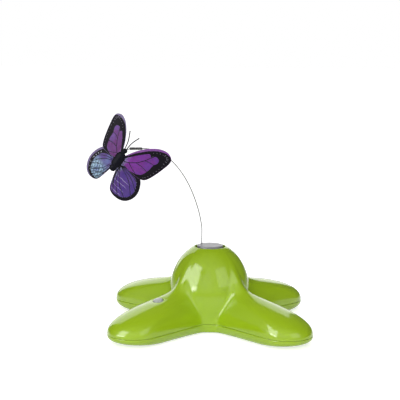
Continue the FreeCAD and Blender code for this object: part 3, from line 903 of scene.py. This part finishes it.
wire = bmesh.new()
last_bend, wire_way = make_wire(wire)
sleeve_end = last_bend + wire_way * sleeve_end_run
finished(wire, "flight_wire_round", "turntable", "wire_steel", "flight_wire")
print("sleeve ends at", [round(v, 2) for v in sleeve_end])

# %% [markdown]
# ## Crimp sleeve
#
# A dark tube is crimped over the wire's end and holds the butterfly's link, which turns
# freely in its mouth. Two shallow crimps grip the wire, and a bright collar closes the
# inner end. Both are turned shapes along the wire's last run.

# %% Crimp sleeve
sleeve = bmesh.new()
spun_profile(sleeve, ((0.34, 0), (0.8, 0), (1.0, -0.2), (1.05, -0.6), (1.05, -9.0), (1.0, -9.6), (1.0, -11.0),
                      (1.05, -11.6), (1.05, -17.0), (1.0, -17.6), (1.0, -19.0), (1.05, -19.6), (1.05, -23.2),
                      (0.44, -23.2), (0.44, -4.2), (0.34, -4.2), (0.34, 0)), 28, sleeve_end, wire_way)
finished(sleeve, "wire_sleeve_crimped", "turntable", "sleeve_dark", "wire_sleeve", sharp_over=50)

collar = bmesh.new()
spun_profile(collar, ((0.42, -23.1), (1.02, -23.1), (1.05, -23.4), (1.0, -25.0), (0.8, -25.4), (0.42, -25.4),
                      (0.42, -23.1)), 28, sleeve_end, wire_way)
finished(collar, "sleeve_collar", "turntable", "wire_steel", sharp_over=50, material=finish["motor_steel"])

# %% [markdown]
# ## The butterfly's own axes
#
# The butterfly has its own axes: X to its right, Z from tail to head, and Y towards its
# back. Everything on it is shaped there and then moved by one matrix, which places the
# sleeve's mouth just above the head.

# %% Butterfly axes
sleeve_mouth = Vector((1.2, 0.7, 11.7))
butterfly_tilt = (Matrix.Rotation(math.radians(-18.7), 3, "Z") @ Matrix.Rotation(math.radians(-2.9), 3, "X")
                  @ Matrix.Rotation(math.radians(36.0), 3, "Y"))
butterfly_shift = Vector((-1.2, 0, 0))      # how far it hangs to the left of its rest line
butterfly_axes = (Matrix.Translation(sleeve_end - butterfly_tilt @ sleeve_mouth + butterfly_shift)
                  @ butterfly_tilt.to_4x4())


def to_butterfly(form):
    bmesh.ops.transform(form, matrix=butterfly_axes, verts=form.verts)


print("butterfly at", [round(v, 2) for v in butterfly_axes.translation])

# %% [markdown]
# ## Link and feelers
#
# A fine bent wire joins the sleeve to the butterfly's head, and two feelers lean out from
# its crown. Each is a curve through a few given points, with a round bevel and closed
# ends, made into a mesh at once. Each feeler ends in a small spun knob.

# %% Fine wires
def fine_wire(form, points, radius):
    """Add a round wire through the points, which are in millimetres."""
    curve = bpy.data.curves.new("fine_wire", "CURVE")
    curve.dimensions = "3D"
    curve.bevel_depth = radius
    curve.bevel_resolution = 3
    curve.use_fill_caps = True
    curve.resolution_u = 10
    spline = curve.splines.new("NURBS")
    spline.points.add(len(points) - 1)
    for point, co in zip(spline.points, points):
        point.co = (*co, 1.0)
    spline.order_u = 3
    spline.use_endpoint_u = True
    holder = bpy.data.objects.new("fine_wire", curve)
    mesh = bpy.data.meshes.new_from_object(holder)
    form.from_mesh(mesh)
    bpy.data.objects.remove(holder)
    bpy.data.meshes.remove(mesh)


link = bmesh.new()
link_start = sleeve_end - wire_way * (link_depth - 0.3)
link_head = butterfly_axes @ Vector((0.2, 0.5, 9.2))
link_bend = sleeve_end + wire_way * 0.9
fine_wire(link, (link_start, sleeve_end - wire_way, link_bend, (link_bend + link_head) / 2, link_head), 0.3)
finished(link, "butterfly_link_bent", "butterfly", "wire_steel", "butterfly_link")

feelers = bmesh.new()
for side in (-1, 1):
    feeler_tip = Vector((side * 4.2 - 1.2, 0, 22.4))
    fine_wire(feelers, ((side * 0.6, -0.8, 8.8), (side * 0.9 - 0.2, -0.9, 12.6),
                        (side * 1.7 - 0.7, -0.6, 17.4), feeler_tip), 0.38)
    knob_way = Vector((side * 2.4 - 0.5, 0.6, 4.8)).normalized()
    spun_profile(feelers, ((0, -0.15), (0.22, -0.1), (0.42, 0.15), (0.5, 0.45), (0.42, 0.75), (0.2, 0.97),
                           (0, 1.0)), 14, feeler_tip, knob_way)
to_butterfly(feelers)
finished(feelers, "antennae_fine", "butterfly", "body_black", "antennae")

# %% [markdown]
# ## Butterfly body
#
# The body is a blocky black moulding with flat facets, drawn in between head, chest and
# tail. A ring of ten corners is extruded through the sections and pressed flat, then all
# its edges get a narrow bevel, so that the facets stay but catch the light. Two half
# round eyes and a keel that the wings are clamped in complete it.

# %% Butterfly body
body_flatness = 0.62
body_sections = (           # half width and height
    (2.3, -9.4), (2.8, -8.0), (2.6, -5.9), (3.7, -4.6), (4.1, -1.6), (3.9, 0.6), (4.1, 2.4), (3.3, 5.2),
    (1.5, 6.7), (1.4, 7.1), (2.1, 8.1), (1.9, 9.5), (0.9, 10.3))


def section_corner(half_width, height, turn):
    return Vector((half_width * math.cos(turn), half_width * math.sin(turn) * body_flatness, height))


def make_body(form):
    rim = ring(form, 10, lambda b: section_corner(0.8, -10.2, b))
    cap(form, list(rim))
    for half_width, height in body_sections:
        rim = grow(form, rim, lambda co: section_corner(half_width, height,
                                                        math.atan2(co.y / body_flatness, co.x)))
    cap(form, rim)
    keel = bmesh.ops.create_cube(form, size=1.0)["verts"]
    bmesh.ops.transform(form, matrix=Matrix.Translation((0, 2.05, 0.4)) @ Matrix.Diagonal((1.4, 1.7, 8.8, 1)),
                        verts=keel)
    bmesh.ops.bevel(form, geom=list(form.edges), offset=0.16, segments=2, profile=0.5, affect="EDGES",
                    material=-1)
    for side in (-1, 1):
        eye = bmesh.ops.create_uvsphere(form, u_segments=16, v_segments=10, radius=0.75)["verts"]
        socket = Matrix.Translation((side * 1.25, -0.55, 8.7)) @ Matrix.Diagonal((0.8, 0.8, 1, 1))
        bmesh.ops.transform(form, matrix=socket, verts=eye)
    to_butterfly(form)


body = bmesh.new()
make_body(body)
finished(body, "butterfly_body_faceted", "butterfly", "body_black", "butterfly_body", sharp_over=22)

# %% [markdown]
# ## Wing pattern
#
# The wings are printed film: a black border and fine black veins over an iridescent tint,
# with rows of pale dashes and dots in the border and a clear lilac margin outside it. The
# print could be an image, but a pattern in numbers stays sharp and needs no file. Veins
# are drawn as curves in the wing's own plane, in millimetres from the hinge. For every
# corner of the mesh the distance to the nearest line is stored, less half the line's
# width, and the material inks whatever is below zero.

# %% Curves and distances in the wing's plane
wing_outlines = {
    "forewing": ((0.3, 4.2), (5.8, 12.2), (12.4, 18.6), (20.4, 23.2), (27.8, 23.8), (32.8, 19.4), (30.8, 9.0),
                 (26.6, -1.6), (22.2, -5.2), (13.0, -4.4), (0.3, -0.6)),
    "hindwing": ((0.3, 0.4), (12.0, -1.4), (21.6, -4.4), (26.6, -12.6), (26.8, -20.2), (22.6, -26.0),
                 (15.4, -27.4), (7.4, -24.2), (3.4, -15.0), (0.3, -3.8))}


def smooth_path(corners, steps=14):
    """A smooth path through the corners, as a list of plane points."""
    points = [np.array(corner, float) for corner in corners]
    ends = [2 * points[0] - points[1]] + points + [2 * points[-1] - points[-2]]
    path = []
    for before, start, end, after in zip(ends, ends[1:], ends[2:], ends[3:]):
        for t in np.arange(steps) / steps:
            path.append(0.5 * (2 * start + (end - before) * t
                               + (2 * before - 5 * start + 4 * end - after) * t ** 2
                               + (3 * start - before - 3 * end + after) * t ** 3))
    return np.array(path + [points[-1]])


def evenly(path, count):
    """The same path with its points at equal spacing."""
    run = np.concatenate(([0], np.cumsum(np.linalg.norm(np.diff(path, axis=0), axis=1))))
    stops = np.linspace(0, run[-1], count)
    return np.stack([np.interp(stops, run, path[:, axis]) for axis in (0, 1)], axis=1)


def gap_to(path, spots):
    """Distance from each spot to a path, and how far along the path the nearest point is."""
    best = np.full(len(spots), 1e9)
    share = np.zeros(len(spots))
    for index, (start, end) in enumerate(zip(path, path[1:])):
        way = end - start
        along = np.clip(((spots - start) @ way) / max(way @ way, 1e-9), 0, 1)
        gap = np.linalg.norm(spots - start - along[:, None] * way, axis=1)
        nearer = gap < best
        best[nearer] = gap[nearer]
        share[nearer] = (index + along[nearer]) / (len(path) - 1)
    return best, share


def inside(path, spots):
    """Which spots lie inside a closed path."""
    hit = np.zeros(len(spots), bool)
    for (x1, y1), (x2, y2) in zip(path, np.roll(path, -1, axis=0)):
        crosses = (y1 > spots[:, 1]) != (y2 > spots[:, 1])
        hit ^= crosses & (spots[:, 0] < (x2 - x1) * (spots[:, 1] - y1) / (y2 - y1 + 1e-12) + x1)
    return hit


print("outline corners", {kind: len(corners) for kind, corners in wing_outlines.items()})

# %% [markdown]
# The forewing's tinted window is one smooth outline, divided by a main vein with three
# branches. The hindwing's window is the wing's own outline, drawn in by a border that is
# wide outside and thin at the inner edge, with veins that fan out from the root. The clear
# margin's width follows the outline too. It differs from left to right, because each wing
# was cut from its sheet a little off its print.

# %% Veins, windows and borders
forewing_window = ((1.2, 2.4), (4.4, 5.7), (8.5, 9.8), (12.6, 13.4), (15.6, 15.5), (17.0, 15.2),
                   (18.2, 14.0), (19.6, 15.8), (22.0, 16.4), (24.6, 15.2), (25.1, 12.6), (23.6, 10.0),
                   (23.0, 7.6), (22.8, 5.0), (21.6, 1.2), (19.4, -2.2), (14.4, -3.6), (8.0, -3.2),
                   (3.4, -1.7), (1.2, -0.4))
forewing_veins = (((0.8, 0.6), (4.5, 1.0), (11.0, 4.4), (15.6, 9.2), (18.2, 13.0), (20.4, 16.4)),
                  ((15.6, 9.2), (19.6, 9.9), (24.0, 9.6)),
                  ((11.0, 4.3), (16.0, 4.0), (22.6, 2.4)),
                  ((6.4, 1.6), (10.4, -0.9), (15.0, -3.2)))
hindwing_root = (2.4, -3.6)
hindwing_tips = ((13.0, -3.0), (19.6, -5.2), (24.2, -10.0), (25.4, -15.4), (24.4, -20.6), (20.8, -24.6),
                 (15.6, -25.8), (10.0, -24.2), (6.6, -20.2), (4.6, -14.6))
main_vein, fine_vein = 0.30, 0.24       # half the printed width
vein_bow = 0.08                         # how far a hindwing's vein bows, as a share of its length

# Widths in millimetres, at shares of the way round the outline.
hindwing_border = ((0, 0.10, 0.20, 0.55, 0.66, 0.76, 0.84, 1), (1.0, 2.5, 3.2, 3.0, 2.2, 0.8, 0.3, 0.3))
margins = {
    "left_forewing": ((0, 0.14, 0.25, 0.31, 0.37, 0.44, 0.52, 1), (0.15, 0.3, 0.7, 1.6, 1.9, 1.4, 0.3, 0.15)),
    "right_forewing": ((0, 0.05, 0.14, 0.30, 0.40, 0.46, 1), (0.2, 1.0, 1.9, 1.9, 1.1, 0.15, 0.1)),
    "left_hindwing": ((0, 0.10, 0.20, 0.50, 0.62, 0.70, 1), (0.2, 0.5, 1.7, 1.8, 0.9, 0.2, 0.15)),
    "right_hindwing": ((0, 1), (0.1, 0.1))}

# Rows of marks: first and last share, spacing, depth in the border, length and half width.
mark_rows = {"forewing": ((0.36, 0.50, 2.6, 2.3, 1.3, 0.17), (0.52, 0.72, 2.7, 1.9, 0.2, 0.20),
                          (0.24, 0.34, 3.0, 3.4, 0.3, 0.18)),
             "hindwing": ((0.28, 0.40, 3.0, 3.0, 0.3, 0.34), (0.40, 0.60, 4.6, 2.8, 0.1, 0.28))}
deeper_marks = {"left_hindwing": 0.4}


def bowed(start, end, bow):
    """A vein from start to end that bows sideways by a share of its length."""
    start, end = np.array(start), np.array(end)
    way = end - start
    return smooth_path((start, (start + end) / 2 + bow * np.array((-way[1], way[0])), end), 8)


def veins_of(kind):
    """The middle line and the half width of each vein."""
    if kind == "forewing":
        widths = (main_vein, fine_vein, fine_vein, fine_vein)
        return [(smooth_path(vein, 8), width) for vein, width in zip(forewing_veins, widths)]
    bows = 5 * [vein_bow] + 5 * [-vein_bow]
    return [(bowed(hindwing_root, tip, bow), fine_vein) for tip, bow in zip(hindwing_tips, bows)]


def row_of_marks(outline, deeper, first, last, spacing, depth, length, half_width):
    """Short dashes square to the outline: start and end of each, with its half width."""
    run = np.linalg.norm(np.diff(outline, axis=0), axis=1).sum()
    marks = []
    for share in np.arange(first, last, spacing / run):
        index = int(share * (len(outline) - 1))
        way = outline[index + 1] - outline[index]
        inward = np.array((way[1], -way[0])) / np.linalg.norm(way)
        start = outline[index] + inward * (depth + deeper)
        marks.append((np.array((start, start + inward * length)), half_width))
    return marks


print("veins", {kind: len(veins_of(kind)) for kind in wing_outlines})

# %% [markdown]
# ## Wing mesh
#
# A circle of corners is laid on the wing's outline and extruded inwards in many rings, so
# the mesh is even and fine enough to carry the print. Then the film gets a slight camber,
# is folded back from its hinge, and is thickened by a Solidify modifier.

# %% Wing mesh and print
wing_corners = 360
wing_rings = 58
middle_size = 0.7           # the innermost ring's size, in steps between rings


def flat_wing(form, corners):
    """The wing in its own plane: X out from the hinge and Z up. Returns its closed outline."""
    path = smooth_path(corners)
    closed_path = np.vstack((path, path[:1]))
    outline = evenly(closed_path, wing_corners + 1)[:-1]
    x_middle, z_middle = outline.mean(axis=0)
    verts = bmesh.ops.create_circle(form, cap_ends=False, segments=wing_corners, radius=1.0)["verts"]
    for vert, (x, z) in zip(verts, outline):
        vert.co = (x, 0, z)
    rim = list({edge for vert in verts for edge in vert.link_edges})
    for step in range(wing_rings):
        shrink = 1 - 1 / (wing_rings + middle_size - step)
        rim = grow(form, rim, lambda co: Vector((x_middle + (co.x - x_middle) * shrink, 0,
                                                 z_middle + (co.z - z_middle) * shrink)))
    cap(form, rim)
    return closed_path


def store(form, name, values):
    layer = form.verts.layers.float.new(name)
    for vert, value in zip(form.verts, values):
        vert[layer] = float(value)


def nearest(spots, lines):
    """Distance from each spot to the edge of the nearest line."""
    return np.min([gap_to(line, spots)[0] - half_width for line, half_width in lines], axis=0)


def print_wing(form, path, kind, name):
    """Store how far each corner is from the ink, the clear margin and the pale marks."""
    spots = np.array([(vert.co.x, vert.co.z) for vert in form.verts])
    edge, share = gap_to(path, spots)
    margin = np.interp(share, *margins[name]) - edge
    if kind == "forewing":
        window_path = smooth_path(forewing_window + forewing_window[:1])
        window = gap_to(window_path, spots)[0] * np.where(inside(window_path, spots), 1, -1)
    else:
        window = -margin - np.interp(share, *hindwing_border)
    outline = evenly(path, 400)
    deeper = deeper_marks.get(name, 0.0)
    marks = [mark for row in mark_rows[kind] for mark in row_of_marks(outline, deeper, *row)]
    store(form, "ink", np.maximum(np.minimum(window, nearest(spots, veins_of(kind))), margin))
    store(form, "margin", margin)
    store(form, "marks", nearest(spots, marks))


def lay_print_map(form):
    """A map of the wing's plane, 40 mm to a unit, for the tints."""
    layer = form.loops.layers.uv.new("wing")
    for face in form.faces:
        for corner in face.loops:
            corner[layer].uv = (corner.vert.co.x / 40, corner.vert.co.z / 40 + 0.75)


print("wing mesh of", wing_corners, "corners in", wing_rings, "rings")

# %% [markdown]
# ## Wing film
#
# Iridescent film changes from magenta to violet and blue as it turns. The tint drifts
# across the wing, a thin-film coat adds the play of colour in its gloss, and near the root,
# where the film is bent, the pale light it catches is painted into the colour as a glint.
# Over the tint come the ink, the clear margin and the pale marks. Each wing also has its
# own fine lines: faint ones on the forewings, straight glints on the right hindwing, and a
# dark criss-cross on the pale outer part of the left one, which breaks up the light.

# %% Wing film
def stored(tree, name, half_step, low, high):
    """Turn a stored distance into a sharp step from low to high."""
    distance = add(tree, "ShaderNodeAttribute", attribute_name=name).outputs["Fac"]
    return ranged(tree, distance, -half_step, half_step, low, high)


def fine_lines(tree, place, turn, scale, width, waver=1.2):
    """Fine parallel lines across the film, a little uneven."""
    wave = add(tree, "ShaderNodeTexWave", {
        "Vector": mapped(tree, place, turn=turn), "Scale": scale, "Distortion": waver, "Detail": 1.0,
        "Detail Scale": 3.0}, wave_type="BANDS").outputs["Fac"]
    return ranged(tree, wave, 1 - width, 1.0, 0.0, 1.0)


def wing_film(name, lines, reach, root_tint, tip_tint, glow_tint, margin_tint, mark_tint):
    """lines gives a share and a colour; reach grows from root to tip."""
    material, tree, shader = start_material(name)
    place = add(tree, "ShaderNodeUVMap", uv_map="wing").outputs[0]
    axes = add(tree, "ShaderNodeSeparateXYZ", {0: place}).outputs
    tint = mixed(tree, reach(tree, axes), root_tint, tip_tint)
    cloud = ranged(tree, noise(tree, place, 6.0, 3.0), 0.42, 0.64, 0.0, 0.7, smooth=True)
    tint = mixed(tree, cloud, tint, glow_tint)
    patches = add(tree, "ShaderNodeTexVoronoi", {"Vector": place, "Scale": 18.0}).outputs["Color"]
    patch_tone = add(tree, "ShaderNodeSeparateColor", {0: patches}).outputs[0]
    tint = mixed(tree, ranged(tree, patch_tone, 0.0, 1.0, 0.0, 0.30), tint, glow_tint, "SOFT_LIGHT")
    share, line_tint = lines(tree, place, axes)
    tint = mixed(tree, share, tint, line_tint)
    # A painted pale glint near the root, where the bent film catches the light.
    painted_root_glint = maths(tree, "MULTIPLY", ranged(tree, axes[0], 0.07, 0.15, 0.8, 0.0),
                 ranged(tree, noise(tree, place, 9.0, 1.0), 0.36, 0.62, 0.0, 1.0))
    tint = mixed(tree, painted_root_glint, tint, (0.42, 0.50, 0.74))
    ink = stored(tree, "ink", 0.06, 1.0, 0.0)
    colour = mixed(tree, ink, tint, (0.004, 0.003, 0.006))
    colour = mixed(tree, stored(tree, "margin", 0.08, 0.0, 1.0), colour, margin_tint)
    pale = maths(tree, "MULTIPLY", stored(tree, "marks", 0.10, 1.0, 0.0), ink)
    feed(shader, {"Base Color": mixed(tree, pale, colour, mark_tint),
                  "Roughness": ranged(tree, ink, 0.0, 1.0, 0.26, 0.45),
                  "Specular IOR Level": ranged(tree, ink, 0.0, 1.0, 0.35, 0.12),
                  "Thin Film Thickness": ranged(tree, ink, 0.0, 1.0, 380.0, 0.0),
                  "Thin Film IOR": 1.5,
                  "Normal": bumped(tree, 0.35, 0.0002, noise(tree, place, 14.0, 3.0))})
    return material


print("film maker ready")

# %% Lines and tints of each wing
def outward(tree, axes):
    return ranged(tree, axes[0], 0.05, 0.62, 0.0, 1.0, smooth=True)


def outer_low(tree, axes):
    """Grows away from both the forewing and the body."""
    low = ranged(tree, axes[1], 0.50, 0.34, 0.0, 1.0, smooth=True)
    return maths(tree, "MULTIPLY", low, ranged(tree, axes[0], 0.04, 0.22, 0.0, 1.0, smooth=True))


def faint_lines(tree, place, axes):
    return fine_lines(tree, place, 38, 9.0, 0.03), (0.10, 0.03, 0.16)


def pale_lines(tree, place, axes):
    """Thin straight glints along the wing, in its inner and lower part."""
    zone = maths(tree, "MULTIPLY", ranged(tree, axes[1], 0.52, 0.46, 0.0, 0.65),
                 ranged(tree, axes[0], 0.46, 0.36, 0.0, 1.0))
    return maths(tree, "MULTIPLY", fine_lines(tree, place, 100, 3.6, 0.05), zone), (0.52, 0.46, 0.72)


def hatching(tree, place, axes):
    """Dark criss-cross, denser away from the forewing."""
    both = maths(tree, "MAXIMUM", fine_lines(tree, place, 30, 4.4, 0.34, 3.0),
                 fine_lines(tree, place, -58, 4.0, 0.34, 3.0))
    zone = maths(tree, "MULTIPLY", outer_low(tree, axes), 0.9)
    return maths(tree, "MULTIPLY", both, zone), (0.03, 0.06, 0.09)


wing_finish = {      # lines, reach, and the tints of root, tip, glow, margin and marks
    "right_forewing": (faint_lines, outward, (0.215, 0.020, 0.315), (0.115, 0.021, 0.250),
                       (0.165, 0.015, 0.215), (0.21, 0.065, 0.29), (0.20, 0.19, 0.23)),
    "left_forewing": (faint_lines, outward, (0.190, 0.060, 0.230), (0.150, 0.080, 0.310),
                      (0.165, 0.045, 0.190), (0.19, 0.17, 0.30), (0.26, 0.24, 0.32)),
    "right_hindwing": (pale_lines, outward, (0.085, 0.036, 0.210), (0.062, 0.031, 0.200),
                       (0.045, 0.020, 0.210), (0.10, 0.06, 0.22), (0.10, 0.09, 0.14)),
    "left_hindwing": (hatching, outer_low, (0.120, 0.080, 0.280), (0.38, 0.57, 0.70),
                      (0.18, 0.24, 0.48), (0.17, 0.14, 0.28), (0.50, 0.52, 0.58))}
print("finishes for", sorted(wing_finish))

# %% Place the wings
hinge_side = 1.0
hinge_back = 2.6
wing_fold = math.radians(31.9)
film_thickness = 0.00018            # in metres, as the modifier works on the finished piece
layer_depth = {"forewing": 0.12, "hindwing": 0.52}
camber_rise, camber_length = 0.8, 34
slipped = {"left_hindwing": (0.0, 1.08, 1.04), "right_hindwing": (2.0, 1.0, 1.0)}    # turn, wider, longer


def make_wing(side, kind):
    name = side + "_" + kind
    form = bmesh.new()
    path = flat_wing(form, wing_outlines[kind])
    print_wing(form, path, kind, name)
    lay_print_map(form)
    turn, wider, longer = slipped.get(name, (0.0, 1.0, 1.0))
    slip = Matrix.Rotation(math.radians(turn), 4, "Y") @ Matrix.Diagonal((wider, 1, longer, 1))
    bmesh.ops.transform(form, matrix=slip, verts=form.verts)
    for vert in form.verts:
        camber = camber_rise * math.sin(math.pi * min(vert.co.x / camber_length, 1))
        vert.co.y = layer_depth[kind] + camber
    fold = Matrix.Translation((hinge_side, hinge_back, 0)) @ Matrix.Rotation(wing_fold, 4, "Z")
    if side == "left":
        fold = Matrix.Diagonal((-1, 1, 1, 1)) @ fold
    bmesh.ops.transform(form, matrix=fold, verts=form.verts)
    to_butterfly(form)
    film = wing_film(kind + "_film_" + side, *wing_finish[name])
    piece = finished(form, name + "_film", side + "_wings", kind + "_film", name, material=film)
    thickness = piece.modifiers.new("film", "SOLIDIFY")
    thickness.thickness = film_thickness
    thickness.offset = 0.0


for side in ("left", "right"):
    for kind in ("forewing", "hindwing"):
        make_wing(side, kind)

# %% [markdown]
# ## Finishes of the inner parts
#
# The gears, motor, plates, cells and contacts keep their CAD shapes. Each gets the finish
# that its real part has. They are out of sight in a closed toy, but they are there when
# it is opened or cut.

# %% Finish the CAD parts
inner_finish = {
    "battery_door": "shell_green", "battery_cells": "battery_label", "battery_contacts": "contact_steel",
    "gearbox_frame": "frame_white", "gearbox_cover": "frame_white", "motor_can": "motor_steel",
    "motor_end_cap": "motor_cap", "motor_shaft": "shaft_steel", "motor_pinion": "gear_white",
    "first_gear": "gear_white", "second_gear": "gear_white", "output_gear": "gear_white",
    "output_shaft": "shaft_steel", "push_switch": "switch_black", "switch_board": "board_green"}
for node_name, finish_name in inner_finish.items():
    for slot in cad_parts[node_name].material_slots:
        slot.material = finish[finish_name]
print("finished", len(inner_finish), "CAD parts")

# %% [markdown]
# ## Floor, world and lamps
#
# The picture has a pure white ground. The floor is white, and gets a little extra light of
# its own only where the camera or a reflection looks at it, so it keeps the toy's soft
# shadow and adds no light to the toy. Far from the toy this light grows, so that no
# horizon shows. From below the floor is clear, which lets the underside be looked at.

# %% Floor
def floor_material():
    material, tree, shader = start_material("floor_white")
    distance = add(tree, "ShaderNodeVectorMath", {0: object_place(tree)}, operation="LENGTH").outputs["Value"]
    far = ranged(tree, distance, 0.22, 0.60, 0.0, 1.0, smooth=True)
    feed(shader, {"Base Color": mixed(tree, far, (0.82, 0.82, 0.82), (0.08, 0.08, 0.08)),
                  "Roughness": 0.9, "Specular IOR Level": 0.0})
    path = add(tree, "ShaderNodeLightPath").outputs
    seen = maths(tree, "MAXIMUM", path["Is Camera Ray"], path["Is Transmission Ray"])
    to_camera = maths(tree, "MULTIPLY", seen, ranged(tree, far, 0.0, 1.0, 0.66, 1.15))
    to_gloss = maths(tree, "MULTIPLY", path["Is Glossy Ray"], ranged(tree, far, 0.0, 1.0, 0.75, 0.35))
    glow = add(tree, "ShaderNodeEmission", {"Color": (1, 1, 1, 1),
                                            "Strength": maths(tree, "ADD", to_camera, to_gloss)})
    lit = add(tree, "ShaderNodeAddShader", {0: shader.outputs[0], 1: glow.outputs[0]})
    behind = add(tree, "ShaderNodeNewGeometry").outputs["Backfacing"]
    clear = add(tree, "ShaderNodeBsdfTransparent")
    both = add(tree, "ShaderNodeMixShader", {0: behind, 1: lit.outputs[0], 2: clear.outputs[0]})
    feed(tree.nodes["Material Output"], {"Surface": both.outputs[0]})
    return material


floor_form = bmesh.new()
bmesh.ops.create_grid(floor_form, x_segments=1, y_segments=1, size=4.0)
floor_mesh = bpy.data.meshes.new("floor")
floor_form.to_mesh(floor_mesh)
floor_form.free()
floor = bpy.data.objects.new("floor", floor_mesh)
bpy.context.collection.objects.link(floor)
floor_mesh.materials.append(floor_material())
floor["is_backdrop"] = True
print("floor laid")

# %% [markdown]
# The highlights on the casing tell where the lamps stood. A tall soft box at the front
# left makes the window-like patch on the dome, a long low strip below it the bright foot
# of that patch and the band on the right arm, and a dim box at the right the faint patch.
# A white screen behind whitens the arms' crests. The studio's walls are bright at the
# front in reflections, and even and dim as light on the toy. A fill from the camera's side
# is kept out of reflections, and the three boxes show in reflections only.

# %% World and lamps
world = bpy.data.worlds.new("studio")
bpy.context.scene.world = world
world.use_nodes = True
tree = world.node_tree
path = add(tree, "ShaderNodeLightPath").outputs
seen = maths(tree, "MAXIMUM", path["Is Camera Ray"], path["Is Transmission Ray"])
way = add(tree, "ShaderNodeTexCoord").outputs["Generated"]
front = add(tree, "ShaderNodeVectorMath", {0: way, 1: (-0.20, -0.98, 0.0)},
            operation="DOT_PRODUCT").outputs["Value"]
mirrored = ranged(tree, front, -0.30, 0.80, 0.08, 1.05, smooth=True)
lit = mixed(tree, path["Is Glossy Ray"], (0.38, 0.38, 0.38), mirrored)
feed(tree.nodes["Background"], {"Color": (1, 1, 1, 1), "Strength": maths(tree, "MAXIMUM", lit, seen)})
aim = Vector((0, 0, 0.04))


def toward(bearing, climb, distance):
    """A place seen from the toy at this bearing, in degrees to the right of the camera's side."""
    bearing, climb = math.radians(bearing), math.radians(climb)
    return aim + distance * Vector((math.cos(climb) * math.sin(bearing), -math.cos(climb) * math.cos(bearing),
                                    math.sin(climb)))


def soft_box(name, place, width, height, radiance):
    """A rectangular lamp that faces the toy; its power follows from how bright it looks."""
    lamp = bpy.data.lights.new(name, "AREA")
    lamp.shape = "RECTANGLE"
    lamp.size = width
    lamp.size_y = height
    lamp.energy = radiance * math.pi * width * height
    box = bpy.data.objects.new(name, lamp)
    box.location = place
    box.rotation_euler = (place - aim).to_track_quat("Z", "Y").to_euler()
    bpy.context.collection.objects.link(box)
    return box


for box in (soft_box("left_box", toward(-53, 26, 1.0), 0.58, 0.90, 6.0),
            soft_box("low_strip", toward(-58, 6, 1.0), 0.62, 0.09, 9.0),
            soft_box("right_box", toward(42, 28, 1.0), 0.62, 0.66, 1.6)):
    box.visible_diffuse = False
soft_box("back_screen", Vector((-0.17, 1.0, 0.52)), 1.20, 1.02, 1.7)
soft_box("front_fill", toward(-10, 24, 1.5), 1.0, 1.0, 4.8).visible_glossy = False
print("lamps ready")

# %% [markdown]
# ## Finish
#
# The sizes are printed once more, now with every piece in place.

# %% Finish
print(write_sizes())
